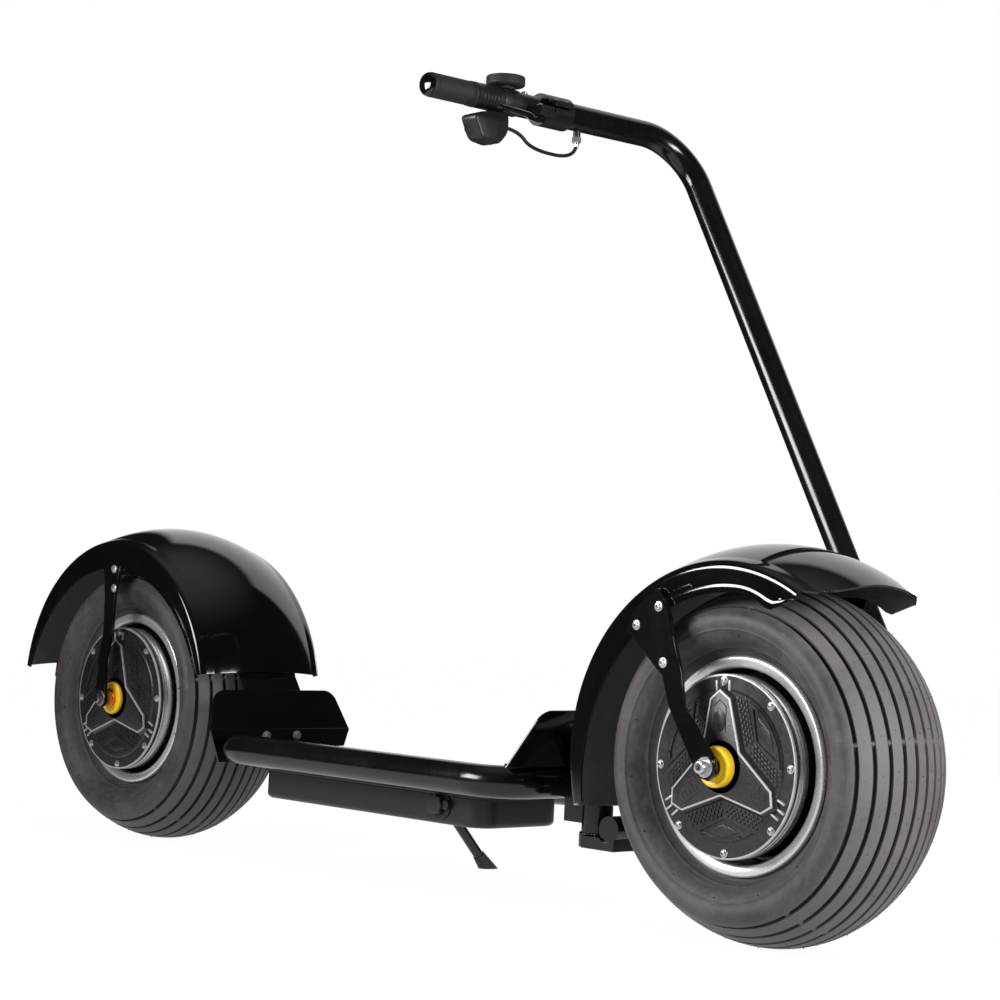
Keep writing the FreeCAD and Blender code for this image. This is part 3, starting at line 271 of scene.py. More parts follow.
def new_mesh(name, form, crease, attributes):
    """A mesh from a form in metres, its edges crisp where they turn by more than crease
    degrees, with one number a point for each attribute."""
    points, groups, marks = form
    mesh = bpy.data.meshes.new(name)
    mesh.vertices.add(len(points))
    mesh.vertices.foreach_set("co", np.asarray(points, np.float32).ravel())
    corners = np.concatenate([np.asarray(group).ravel() for group in groups])
    sizes = np.concatenate([np.full(len(group), group.shape[1]) for group in groups])
    mesh.loops.add(len(corners))
    mesh.loops.foreach_set("vertex_index", corners.astype(np.int32))
    mesh.polygons.add(len(sizes))
    mesh.polygons.foreach_set("loop_start", (np.cumsum(sizes) - sizes).astype(np.int32))
    mesh.update(calc_edges=True)
    for label, values in {"marks": marks, **attributes}.items():
        layer = mesh.attributes.new(label, "FLOAT", "POINT")
        layer.data.foreach_set("value", np.asarray(values, np.float32))
    work = bmesh.new()
    work.from_mesh(mesh)
    bmesh.ops.remove_doubles(work, verts=work.verts, dist=2e-6)
    bmesh.ops.recalc_face_normals(work, faces=work.faces)
    work.to_mesh(mesh)
    work.free()
    mesh.shade_smooth()
    mesh.set_sharp_from_angle(angle=np.radians(crease))
    return mesh


def piece(name, form, body, material, slot, stands_for=(), crease=32, **attributes):
    """A form in millimetres becomes a piece that rides on a body."""
    points, groups, marks = form
    mesh = new_mesh(name, (points * MM, groups, marks), crease, attributes)
    mesh.materials.append(material)
    thing = bpy.data.objects.new(name, mesh)
    scene.collection.objects.link(thing)
    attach(thing, body)
    if stands_for:
        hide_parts(*stands_for)
    return thing


def wheel_frame(form, x):
    """A lathe's w axis along +Y, centred on an axle."""
    return moved(form, (x * 1000, 0, AXLE_HEIGHT * 1000), (1, 0, 0), (0, 0, 1), (0, 1, 0))


def facing_right(form, x, y, z):
    """A form whose w axis points out of the right side, towards -Y."""
    return moved(form, (x, y, z), (1, 0, 0), (0, 0, 1), (0, -1, 0))


def facing_left(form, x, y, z):
    """A form whose w axis points out of the left side, towards +Y."""
    return moved(form, (x, y, z), (-1, 0, 0), (0, 0, 1), (0, 1, 0))


print("piece maker ready")

# %% [markdown]
# ## Shared shader effects
#
# No real surface is even. Each effect here is a node group that only hands out a value or a
# normal, so any material can use it: fine grain, uneven wear, and lathe marks along a profile.
# The same could be drawn as pictures, but noise has no seams and no limit of sharpness.
# Positions come in from the material, in metres.

# %% Node groups


class Graph:
    """A node tree under construction."""

    def __init__(self, tree):
        self.tree = tree

    def add(self, kind, inputs=None, **settings):
        """A new node. An input given as a socket is linked, and any other is set."""
        node = self.tree.nodes.new(kind)
        for name, value in settings.items():
            setattr(node, name, value)
        for name, value in (inputs or {}).items():
            socket = node.inputs[name]
            if isinstance(value, bpy.types.NodeSocket):
                self.tree.links.new(value, socket)
            else:
                socket.default_value = value
        return node

    def noise(self, vector, scale, detail=4.0, roughness=0.6):
        return self.add("ShaderNodeTexNoise", {"Vector": vector, "Scale": scale, "Detail": detail,
                                               "Roughness": roughness}).outputs["Fac"]

    def math(self, operation, *values):
        return self.add("ShaderNodeMath", dict(enumerate(values)), operation=operation).outputs[0]

    def span(self, value, low, high, to_low=0.0, to_high=1.0):
        """The value's span low to high stretched to another span, and held at its ends."""
        return self.add("ShaderNodeMapRange", {"Value": value, "From Min": low, "From Max": high,
                                               "To Min": to_low, "To Max": to_high}).outputs[0]

    def mix(self, factor, a, b):
        node = self.add("ShaderNodeMix", {0: factor}, data_type="RGBA")
        for socket, value in ((node.inputs[6], a), (node.inputs[7], b)):
            if isinstance(value, bpy.types.NodeSocket):
                self.tree.links.new(value, socket)
            else:
                socket.default_value = value
        return node.outputs[2]


def effect(name, inputs, outputs):
    """An empty node group with its interface; returns its graph, input and output nodes."""
    tree = bpy.data.node_groups.new(name, "ShaderNodeTree")
    for label, kind, value in inputs:
        socket = tree.interface.new_socket(name=label, in_out="INPUT",
                                           socket_type="NodeSocket" + kind)
        if value is not None:
            socket.default_value = value
    for label, kind in outputs:
        tree.interface.new_socket(name=label, in_out="OUTPUT", socket_type="NodeSocket" + kind)
    return Graph(tree), tree.nodes.new("NodeGroupInput"), tree.nodes.new("NodeGroupOutput")


# Grain: noise as height, one scale for the pebbles and a finer one for the skin on them
grain, g_in, g_out = effect("Grain", [("Vector", "Vector", None), ("Scale", "Float", 800.0),
                                      ("Depth", "Float", 0.2), ("Size", "Float", 0.0004)],
                            [("Normal", "Vector")])
coarse = grain.noise(g_in.outputs["Vector"], g_in.outputs["Scale"], 3.0)
finer = grain.math("MULTIPLY", g_in.outputs["Scale"], 2.7)
fine = grain.noise(g_in.outputs["Vector"], finer, 2.0)
height = grain.math("MULTIPLY_ADD", fine, 0.4, coarse)
bump = grain.add("ShaderNodeBump", {"Height": height, "Strength": g_in.outputs["Depth"],
                                    "Distance": g_in.outputs["Size"]})
grain.tree.links.new(bump.outputs[0], g_out.inputs["Normal"])

# Wear: 0 to 1 in soft patches, broken up by finer specks
wear, w_in, w_out = effect("Wear", [("Vector", "Vector", None), ("Scale", "Float", 9.0)],
                           [("Value", "Float")])
patches = wear.noise(w_in.outputs["Vector"], w_in.outputs["Scale"], 5.0, 0.65)
finer = wear.math("MULTIPLY", w_in.outputs["Scale"], 14.0)
specks = wear.noise(w_in.outputs["Vector"], finer, 3.0)
blend = wear.math("ADD", wear.math("MULTIPLY", patches, 0.75),
                  wear.math("MULTIPLY", specks, 0.25))
wear.tree.links.new(wear.span(blend, 0.36, 0.64), w_out.inputs["Value"])

# Lathe marks: noise along the profile only, from the piece's own marks attribute
marks, m_in, m_out = effect("Lathe marks", [("Along", "Float", 0.0), ("Depth", "Float", 0.1)],
                            [("Normal", "Vector"), ("Value", "Float")])
line = marks.add("ShaderNodeCombineXYZ", {"X": m_in.outputs["Along"]}).outputs[0]
rings_noise = marks.noise(line, 6.0, 3.0, 0.7)
bump = marks.add("ShaderNodeBump", {"Height": rings_noise, "Strength": m_in.outputs["Depth"],
                                    "Distance": 0.0003})
marks.tree.links.new(bump.outputs[0], m_out.inputs["Normal"])
marks.tree.links.new(rings_noise, m_out.inputs["Value"])
print("effects:", [tree.name for tree in bpy.data.node_groups])

# %% [markdown]
# ## Materials
#
# Black on black on black: the pieces differ by gloss, not by colour. Paint is deep and clear,
# powder coat is satin, moulded plastic and rubber are dull, so each is set mostly by how rough
# it is, how uneven that roughness is, and what grain its surface has.

# %% Materials


def start_material(name):
    """A new material, its graph, its shader and the position in the object's frame."""
    made = bpy.data.materials.new(name)
    made.use_nodes = True
    graph = Graph(made.node_tree)
    shader = made.node_tree.nodes["Principled BSDF"]
    place = graph.add("ShaderNodeTexCoord").outputs["Object"]
    return made, graph, shader, place


def use(graph, group, inputs):
    """One of the shared effects, set up in a material."""
    node = graph.add("ShaderNodeGroup", node_tree=bpy.data.node_groups[group])
    for name, value in inputs.items():
        if isinstance(value, bpy.types.NodeSocket):
            graph.tree.links.new(value, node.inputs[name])
        else:
            node.inputs[name].default_value = value
    return node.outputs


def surface(name, dark, light, rough, metallic=0.0, coat=0.0, grain_scale=700.0, depth=0.1,
            wear_scale=9.0):
    """A finish between two colours and two roughnesses, mixed by wear, with a grain."""
    made, graph, shader, place = start_material(name)
    worn = use(graph, "Wear", {"Vector": place, "Scale": wear_scale})["Value"]
    colour = graph.mix(worn, (*dark, 1), (*light, 1))
    graph.tree.links.new(colour, shader.inputs["Base Color"])
    graph.tree.links.new(graph.span(worn, 0, 1, *rough), shader.inputs["Roughness"])
    normal = use(graph, "Grain", {"Vector": place, "Scale": grain_scale, "Depth": depth})["Normal"]
    graph.tree.links.new(normal, shader.inputs["Normal"])
    shader.inputs["Metallic"].default_value = metallic
    shader.inputs["Coat Weight"].default_value = coat
    shader.inputs["Coat Roughness"].default_value = 0.04
    return made


gloss_black = surface("gloss_black", (0.0022, 0.0022, 0.0026), (0.0035, 0.0035, 0.004),
                      (0.05, 0.1), grain_scale=60.0, depth=0.012, coat=0.4)
tube_black = surface("tube_black", (0.003, 0.003, 0.0036), (0.0055, 0.0052, 0.006),
                     (0.12, 0.24), grain_scale=120.0, depth=0.02)
satin_black = surface("satin_black", (0.0055, 0.0055, 0.006), (0.009, 0.009, 0.0095),
                      (0.3, 0.42), grain_scale=900.0, depth=0.14)
plate_black = surface("plate_black", (0.003, 0.003, 0.0034), (0.005, 0.005, 0.0055),
                      (0.07, 0.14), grain_scale=200.0, depth=0.02)
fender_inside = surface("fender_inside", (0.11, 0.11, 0.108), (0.17, 0.168, 0.165),
                        (0.4, 0.6), grain_scale=500.0, depth=0.2)
cover_black = surface("cover_black", (0.0145, 0.012, 0.0138), (0.026, 0.022, 0.025),
                      (0.2, 0.34), grain_scale=1100.0, depth=0.25)
plastic_black = surface("plastic_black", (0.008, 0.008, 0.0085), (0.013, 0.013, 0.0135),
                        (0.35, 0.5), grain_scale=1300.0, depth=0.3)
rubber_black = surface("rubber_black", (0.01, 0.01, 0.0105), (0.018, 0.0175, 0.018),
                       (0.55, 0.75), grain_scale=1500.0, depth=0.35)
bright_steel = surface("bright_steel", (0.5, 0.5, 0.52), (0.7, 0.7, 0.72), (0.2, 0.32),
                       metallic=0.8, grain_scale=500.0, depth=0.08)
dark_steel = surface("dark_steel", (0.2, 0.2, 0.21), (0.34, 0.34, 0.35), (0.24, 0.4),
                     metallic=1.0, grain_scale=500.0, depth=0.15)
silver_line = surface("silver_line", (0.42, 0.42, 0.44), (0.6, 0.6, 0.62), (0.3, 0.4),
                      metallic=0.5, grain_scale=900.0, depth=0.1)
copper = surface("copper", (0.55, 0.2, 0.06), (0.8, 0.36, 0.14), (0.25, 0.4), metallic=1.0,
                 grain_scale=700.0, depth=0.1)
yellow = surface("yellow_moulding", (0.8, 0.47, 0.004), (0.9, 0.58, 0.01), (0.32, 0.45),
                 grain_scale=500.0, depth=0.1, wear_scale=30.0)
cable_sheath = surface("cable_sheath", (0.008, 0.008, 0.0085), (0.014, 0.014, 0.0145),
                       (0.3, 0.5), grain_scale=900.0, depth=0.2)


def turned_metal(name, dark, light, rough, depth, metallic):
    """Metal cut on a lathe: its marks run round it and vary along its profile."""
    made, graph, shader, place = start_material(name)
    along = graph.add("ShaderNodeAttribute", attribute_name="marks").outputs["Fac"]
    cut = use(graph, "Lathe marks", {"Along": along, "Depth": depth})
    worn = use(graph, "Wear", {"Vector": place, "Scale": 16.0})["Value"]
    graph.tree.links.new(graph.mix(cut["Value"], (*dark, 1), (*light, 1)),
                         shader.inputs["Base Color"])
    graph.tree.links.new(graph.span(worn, 0, 1, *rough), shader.inputs["Roughness"])
    graph.tree.links.new(cut["Normal"], shader.inputs["Normal"])
    shader.inputs["Metallic"].default_value = metallic
    return made


lip_metal = turned_metal("lip_metal", (0.6, 0.6, 0.62), (0.8, 0.8, 0.82), (0.24, 0.34),
                         0.05, 0.7)
drum_metal = turned_metal("drum_metal", (0.4, 0.4, 0.42), (0.62, 0.62, 0.64), (0.16, 0.26),
                          0.12, 0.85)


def tyre_rubber():
    """Rubber: purplish and smeared on the sidewall, browner on the tread, with painted shade in
    the grooves. The piece's own attributes say how much of each there is at a point."""
    made, graph, shader, place = start_material("tyre_rubber")
    groove = graph.add("ShaderNodeAttribute", attribute_name="groove").outputs["Fac"]
    tread = graph.add("ShaderNodeAttribute", attribute_name="tread").outputs["Fac"]
    smear = use(graph, "Wear", {"Vector": place, "Scale": 11.0})["Value"]
    # the dust lies in streaks that run round the tyre, six times as long as they are wide
    stretched = graph.add("ShaderNodeMapping", {"Vector": place, "Scale": (1, 6, 1)}).outputs[0]
    dust = use(graph, "Wear", {"Vector": stretched, "Scale": 23.0})["Value"]
    side = graph.mix(smear, (0.026, 0.0215, 0.0255, 1), (0.08, 0.069, 0.08, 1))
    side = graph.mix(graph.math("MULTIPLY", graph.span(dust, 0.7, 1.0), 0.35), side,
                     (0.13, 0.12, 0.128, 1))
    crown = graph.mix(smear, (0.095, 0.086, 0.082, 1), (0.135, 0.123, 0.119, 1))
    colour = graph.mix(tread, side, crown)
    # the grooves are painted near black as painted shade, a quarter as much over the tie bars
    colour = graph.mix(groove, colour, (0.006, 0.0055, 0.006, 1))
    graph.tree.links.new(colour, shader.inputs["Base Color"])
    graph.tree.links.new(graph.span(smear, 0, 1, 0.5, 0.68), shader.inputs["Roughness"])
    normal = use(graph, "Grain", {"Vector": place, "Scale": 420.0, "Depth": 0.35,
                                  "Size": 0.0006})["Normal"]
    graph.tree.links.new(normal, shader.inputs["Normal"])
    return made


def grip_deck():
    """Anti-slip sheet: coarse dull grit, with a few grains painted lighter as painted glints."""
    made, graph, shader, place = start_material("deck_grit")
    grit = graph.add("ShaderNodeTexVoronoi", {"Vector": place, "Scale": 900.0}).outputs
    # each grain's middle is painted lighter: a painted glint
    lit = graph.span(grit["Distance"], 0.0, 0.12, 1.0, 0.0)
    colour = graph.mix(lit, (0.007, 0.007, 0.0075, 1), (0.06, 0.06, 0.062, 1))
    graph.tree.links.new(colour, shader.inputs["Base Color"])
    bumps = graph.add("ShaderNodeBump", {"Height": grit["Distance"], "Strength": 0.8,
                                         "Distance": 0.0008})
    graph.tree.links.new(bumps.outputs[0], shader.inputs["Normal"])
    shader.inputs["Roughness"].default_value = 0.75
    return made


def red_lens():
    """Reflector: clear red plastic over a field of small prisms."""
    made, graph, shader, place = start_material("red_lens")
    cells = graph.add("ShaderNodeTexVoronoi", {"Vector": place, "Scale": 330.0}).outputs
    colour = graph.mix(graph.span(cells["Distance"], 0.1, 0.7), (0.42, 0.004, 0.004, 1),
                       (0.12, 0.001, 0.001, 1))
    graph.tree.links.new(colour, shader.inputs["Base Color"])
    bumps = graph.add("ShaderNodeBump", {"Height": cells["Distance"], "Strength": 0.5,
                                         "Distance": 0.001})
    graph.tree.links.new(bumps.outputs[0], shader.inputs["Normal"])
    shader.inputs["Roughness"].default_value = 0.12
    shader.inputs["Coat Weight"].default_value = 1.0
    return made


tyre_black = tyre_rubber()
deck_grit = grip_deck()
lens_red = red_lens()

# The nodes that stay as the CAD made them take a finish each, by name
FINISHES = {
    tube_black: ["main_tube", "fork_arm", "handle_tube", "steering_head", "steering_yoke",
                 "inner_bar"],
    plate_black: ["rear_fender_bracket", "stand_bracket", "stand_leg"],
    plastic_black: ["charge_port", "cable_gland"],
    rubber_black: ["stand_foot"],
    deck_grit: ["deck_board"],
    dark_steel: ["brake_disc", "front_axle", "rear_axle"],
}
for finish, names in FINISHES.items():
    for name in names:
        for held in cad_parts[name].material_slots:
            held.material = finish

print(sum(len(names) for names in FINISHES.values()), "CAD nodes finished")

# %% [markdown]
# ## Tyres
#
# Fat road tyres with ten straight grooves, which leave nine ribs and two shoulders. The grooves
# could be cut with booleans or drawn as bump. Here they are geometry, because the ribs
# show on the outline, and one grid makes the whole tyre, because then its shading has no breaks.
#
# The section is drawn once as a smooth half, from the bead over the belly to the crown, and
# grooves are sunk into it. A point's depth in a groove depends on how near it is to the groove's
# middle. At a few angles tie bars bridge the grooves, so the depth also depends on the angle.

# %% Tyres
# (distance from the centre plane, radius), from the bead to the crown
HALF_SECTION = [(62, 126.5), (66, 127), (66.3, 138), (68, 141.5), (74, 145.5), (85, 152),
                (95, 162), (100.4, 175), (100.6, 184), (97, 191), (88, 198.3), (78, 204.9),
                (68, 210.6), (58, 215.6), (48, 219.9), (38, 223.3), (28, 225.9), (18, 227.7),
                (9, 228.7), (0, 229)]
GROOVE_PITCH = 19.4                  # ribs are equally wide, right round to the shoulder
SIDE_RINGS = [148.0, 170.0]          # radii of the fine raised lines on the sidewall
TIE_BARS = [12, 84, 156, 228, 300]   # degrees
GROOVES_A_SIDE = 5
GROOVE_HALF, GROOVE_SLOPE, GROOVE_DEPTH = 3.0, 0.8, 5.2
TREAD_FROM, TREAD_FULL = 190.0, 202.0    # radii where the tread's colour starts and is full
STEPS_ROUND = 400


def tyre_form():
    """The section turned about the axle, each point moved in along its own normal by a depth:
    the groove's depth times a ramp, 1 in the groove and 0 outside it, less the raised rings."""
    half = smoothed(HALF_SECTION, 3)
    section = np.concatenate([half * [-1, 1], half[::-1][1:]])
    length = np.concatenate([[0], np.cumsum(np.linalg.norm(np.diff(section, axis=0), axis=1))])

    # the rings and the grooves' middles, as lengths along the section
    half_length = length[:len(half)]
    crown = half_length[-1]
    rings = np.interp(SIDE_RINGS, half[:, 1], half_length)
    rings = np.concatenate([rings, length[-1] - rings])
    top = half[:, 1] > TREAD_FROM
    from_crown = np.interp((np.arange(GROOVES_A_SIDE) + 0.5) * GROOVE_PITCH,
                           half[top, 0][::-1], (crown - half_length[top])[::-1])
    middles = np.unique(np.concatenate([crown + from_crown, crown - from_crown]))

    # points lie close together at the grooves' edges and the rings, and further apart elsewhere
    near = np.array([-3.8, -3.0, -2.5, -1.9, 1.9, 2.5, 3.0, 3.8])
    stops = np.unique(np.round(np.concatenate([
        (middles[:, None] + near).ravel(), (rings[:, None] + [-1, -0.4, 0.4, 1]).ravel(),
        np.linspace(0, length[-1], 90)]), 3))
    y, r = [np.interp(stops, length, section[:, axis]) for axis in (0, 1)]
    across = np.min(np.abs(stops[:, None] - middles), axis=1)
    sunk = np.clip((GROOVE_HALF - across) / GROOVE_SLOPE, 0, 1)
    raised = np.clip(1.2 - np.min(np.abs(stops[:, None] - rings), axis=1), 0, 0.6)

    angle = np.arange(STEPS_ROUND) * 2 * np.pi / STEPS_ROUND
    from_tie = np.abs((np.degrees(angle)[:, None] - np.array(TIE_BARS) + 180) % 360 - 180)
    untied = np.clip((from_tie.min(axis=1) - 0.5) / 0.8, 0, 1)
    depth = sunk[:, None] * GROOVE_DEPTH * (0.15 + 0.85 * untied) - raised[:, None]
    slope = np.gradient(section, axis=0)
    slope_y, slope_r = [np.interp(stops, length, slope[:, axis]) for axis in (0, 1)]
    steep = np.hypot(slope_y, slope_r)
    reach_y = y[:, None] + (slope_r / steep)[:, None] * depth
    reach_r = r[:, None] - (slope_y / steep)[:, None] * depth
    points = np.stack([reach_r * np.cos(angle), reach_r * np.sin(angle), reach_y], -1)
    faces = [grid_faces(len(stops), STEPS_ROUND, True, True)]
    # painted shade for the grooves: 1 in a groove, a quarter of that where a tie bar fills it
    groove = np.broadcast_to(sunk[:, None] * (0.25 + 0.75 * untied), depth.shape)
    tread = np.clip((r - TREAD_FROM) / (TREAD_FULL - TREAD_FROM), 0, 1)[:, None]
    tread = np.broadcast_to(tread, depth.shape)
    shell = points.reshape(-1, 3), faces, np.repeat(stops, STEPS_ROUND)
    return shell, groove.ravel(), tread.ravel()


# %% [markdown]
# A new tyre still has the short hairs where rubber ran into the mould's vents. They are small
# cones with few sides, because there are hundreds of them, in rows on the ribs and sidewalls.

# %% Moulding hairs and both tyres
def nubs():
    """Rows of cones round the tyre, each cone's own axis turned to the rubber's normal."""
    cone = head([(-0.6, 1.2, 0), (0.5, 1.1, 0), (2.0, 0.6, 0), (2.2, 0, 0)], 6)
    rows = []
    for number in range(2 * GROOVES_A_SIDE - 1):
        y = (number - GROOVES_A_SIDE + 1) * GROOVE_PITCH
        # the crown is nearly a circle of radius 122 across the wheel
        tilt = np.arcsin(y / 122)
        out, side = np.cos(tilt), np.sin(tilt)
        r = 229 - y * y / 244
        row = moved(cone, (r - 0.9 * out, 0, y - 0.9 * side), (0, 1, 0), (-side, 0, out),
                    (out, 0, side))
        rows.append(turned_copies(row, 28, 1.5 * (number % 3)))
    for side in (-1, 1):
        row = moved(cone, (163, 0, side * 95.4), (0, 1, 0), (0.55 * side, 0, 0.83),
                    (-0.55, 0, 0.83 * side))
        rows.append(turned_copies(row, 14, 9.0))
    return joined(rows)


tyre_shell, tyre_groove_shade, tyre_tread = tyre_form()
for name, x in WHEELS.items():
    piece(f"{name}_tyre_rubber", wheel_frame(tyre_shell, x), f"{name}_wheel", tyre_black, "tyre",
          [f"{name}_tyre"], 40, groove=tyre_groove_shade, tread=tyre_tread)
    hairs = wheel_frame(nubs(), x)
    # the hairs take 0.3 of the grooves' painted shade, so they are painted darker
    piece(f"{name}_tyre_nubs", hairs, f"{name}_wheel", tyre_black, "tyre",
          groove=np.full(len(hairs[0]), 0.3), tread=np.ones(len(hairs[0])))
print("tyre points", len(tyre_shell[0]))

# %% [markdown]
# ## Rims and hub motors
#
# The real ones are turned and pressed metal, so each is a closed profile about the axle. The lips
# are polished, the barrel behind them is black, and the motor's drum shows as a polished band
# between the cover and the dark gap. A Screw modifier would turn a curve just as well, but a
# lathe of arrays also writes each point's place along the profile, which the lathe marks read.

# %% Rims and hubs
# profiles: (place along the axle, radius); the right side of the wheel has negative places
LIP = [(-58, 125.6), (-65.6, 125.6), (-66, 136.2), (-67.2, 137.4), (-70.6, 137.5),
       (-72.6, 136.8), (-73.9, 134.8), (-73.7, 130.6), (-73, 126.4), (-71.8, 123.2),
       (-69, 121.6), (-58, 121.2)]
BARREL = [(-60, 122.4), (-16, 121), (-14, 119), (-14, 113), (14, 113), (14, 119), (16, 121),
          (60, 122.4), (60, 126), (-60, 126)]
DRUM = [(-90.4, 100), (-90.4, 113.9), (-89.6, 114.8), (-84.6, 114.8), (-84, 114.1),
        (-83.4, 114.8), (-74, 114.8), (-72.6, 113.4), (-72.6, 100)]
HOUSING = [(-90, 10.1), (-90, 112), (-73, 112), (-72, 113.4), (50, 113.4), (54, 112.4),
           (61, 106), (62, 104), (62, 96), (59.6, 94), (59.6, 58), (62, 56), (62.6, 47),
           (66, 42), (77, 39.4), (78, 38.4), (78, 10.1)]
DISC_BOLT = [(0, 4.6, 0), (2.4, 4.6, 0), (3.6, 3.8, 0), (3.9, 2.6, 0), (3.9, 2.2, 1),
             (1.4, 2.2, 1), (1.4, 0, 0)]

for name, x in WHEELS.items():
    wheel = f"{name}_wheel"
    lip = smoothed(LIP, 2, True)
    lips = joined([lathe(lip, 256), lathe(lip * [-1, 1], 256)])
    piece(f"{name}_rim_lips", wheel_frame(lips, x), wheel, lip_metal, "rim")
    piece(f"{name}_rim_barrel", wheel_frame(lathe(BARREL), x), wheel, satin_black, "rim",
          [f"{name}_rim"])
    piece(f"{name}_hub_drum", wheel_frame(lathe(DRUM, 256), x), wheel, drum_metal, "hub")
    piece(f"{name}_hub_housing", wheel_frame(lathe(HOUSING), x), wheel, satin_black, "hub",
          [f"{name}_hub"])
    left_screws = turned_copies(moved(head(DISC_BOLT), (76, 0, 59.4)), 12, 15)
    piece(f"{name}_hub_screws", wheel_frame(left_screws, x), wheel, bright_steel, "steel")
print("rims and hubs done")

# %% [markdown]
# ## The three-armed hub cover
#
# The cover over each hub motor is what the eye finds first. It could be one sculpted mesh, but
# it is made as a designer draws it: flat, looking at the right side with one arm up, with u to
# the front, v up, and w out of the wheel. Everything repeats three times, so a third is drawn
# and copied by rotation, and the whole is then leant back a little.
#
# Layers, from the drum outwards: the plate, with a silver ring on its rim as a painted
# highlight, the raised field, the V of small bricks that follows two arms, the three-cornered
# frame with its sunk middle, and the arms, whose edge is a thin bright line.

# %% Hub covers
ARM_TURN = np.radians(-3.5)
FIELD, ARM_TOP = 100.0, 106.0    # heights of the raised field and of the arms along w
ARM_CORNER, ARM_REACH, NOTCH_RADIUS = (16.0, 84.0), 95.0, 36.0
BRICK_PITCH, ROW_PITCH = 7.0, 4.2
FIELD_RADIUS = 90.5              # bricks lie within it
COVER = [(90.8, 12), (90.8, 114.2), (96.6, 114.2), (97.9, 112.9), (98, 96.4), (98.6, 95.2),
         (100, 94), (100, 12)]
# a silver ring laid on the cover's chamfered rim: a painted highlight
COVER_RIM_HIGHLIGHT = [(95.6, 113.4), (95.6, 114.9), (97.2, 114.9), (98.3, 113.9), (98.4, 112.2),
              (97.8, 112.2)]
COVER_BOSS = [(100, 12), (100, 33.4), (105.4, 33.4), (106, 32.6), (106, 12)]


def around(radius, degrees):
    """Point (u, v) at a radius, at an angle from straight up towards the front."""
    return radius * np.sin(np.radians(degrees)), radius * np.cos(np.radians(degrees))


def turn_flat(points, degrees):
    """Flat points turned from straight up towards the front."""
    c, s = np.cos(np.radians(degrees)), np.sin(np.radians(degrees))
    return np.asarray(points) @ np.array([[c, -s], [s, c]])


def ridge(start, end, width, low, high):
    """A straight raised bar with a rounded top between two points."""
    start, end = np.asarray(start, float), np.asarray(end, float)
    side = np.array([start[1] - end[1], end[0] - start[0]])
    side *= width / 2 / np.linalg.norm(side)
    return prism([start - side, end - side, end + side, start + side], low, high, 0.5)


def star(out=0.0):
    """Outline of the three arms, with a notch where two meet."""
    u, v = ARM_CORNER
    third = np.array([(-u, v), (0, ARM_REACH), (u, v), around(NOTCH_RADIUS, 60)])
    outline = np.concatenate([turn_flat(third, 120 * number) for number in range(3)])
    return offset(outline, out)


def bricks():
    """The V of bricks: in each leg, s runs along the arm's side and t away from it. A brick is
    kept where it lies inside the field and on its own side of the V's middle line."""
    notch = np.array(around(NOTCH_RADIUS, 60))
    corner = np.array(ARM_CORNER)
    along = (corner - notch) / np.linalg.norm(corner - notch)
    out = np.array([along[1], -along[0]])
    s, row = np.meshgrid(np.arange(-2, 12), np.arange(4), indexing="ij")
    middle_s = s * BRICK_PITCH + row * 3.4 + 2
    middle_t = 8.0 + row * ROW_PITCH
    centre = notch + middle_s[..., None] * along + middle_t[..., None] * out
    axis = np.array(around(1, 60))
    clear = centre @ np.array([-axis[1], axis[0]])
    inside = (np.linalg.norm(centre, axis=-1) < FIELD_RADIUS) & (clear > 2.6)
    centre = centre[inside]
    brick = prism([(-2.9, -1.7), (2.5, -1.7), (2.9, 1.7), (-2.5, 1.7)], FIELD - 0.5,
                  FIELD + 1.3, 0.5)
    brick = moved(brick, (0, 0, 0), (*along, 0), (*out, 0))
    leg = copies_at(brick, np.column_stack([centre, np.zeros(len(centre))]))
    points, faces, marks = leg
    # the second leg mirrors the first about the panel's middle line, so its faces run the
    # other way round
    flip = 2 * np.outer(axis, axis) - np.eye(2)
    mirrored = np.column_stack([points[:, :2] @ flip, points[:, 2]])
    return joined([leg, (mirrored, [group[:, ::-1] for group in faces], marks)])


def three_corner_frame():
    """The raised frame beyond the V: its outer side follows the field's edge."""
    arc = [around(92.5, angle) for angle in np.linspace(29, 91, 12)]
    outer = np.array([around(60, 60)] + arc)
    inner = offset(outer, -4.2)
    loops = [outer, outer, offset(outer, -0.6), offset(inner, 0.6), inner, inner]
    walls = stacked(loops, [FIELD - 1, FIELD + 1.5, FIELD + 2.1, FIELD + 2.1, FIELD + 1.5,
                            FIELD - 1], capped=False)
    facet = [around(70, 60), around(84, 42), around(88, 60), around(84, 78)]
    middle = prism(facet, FIELD - 1, FIELD + 0.9, 1.2)
    return joined([walls, middle])


def arm_relief(upper):
    """Plain raised lines inside an arm; the upper arm carries an oval."""
    lines = []
    for sign in (-1, 1):
        lines += [ridge((sign * 9, 44), (sign * 10.5, 74), 1.5, ARM_TOP - 1, ARM_TOP + 0.55),
                  ridge((sign * 10.5, 74), (0, 83), 1.5, ARM_TOP - 1, ARM_TOP + 0.55)]
    if upper:
        t = np.arange(40) * 2 * np.pi / 40
        oval = np.column_stack([9 * np.cos(t), 57 + 14 * np.sin(t)])
        lines += [prism(oval, ARM_TOP - 1, ARM_TOP + 1.1, 0.9),
                  prism(offset(oval, -2.4), ARM_TOP, ARM_TOP + 1.6, 0.6)]
    else:
        for step in range(5):
            v = 46 + step * 6.4
            lines += [ridge((-6.4, v), (6.4, v + 2.2), 1.1, ARM_TOP - 1, ARM_TOP + 0.45),
                      ridge((-6.4 + 2.6 * step, v), (-6.4 + 2.6 * step, v + 5.4), 1.1,
                            ARM_TOP - 1, ARM_TOP + 0.45)]
    return joined(lines)


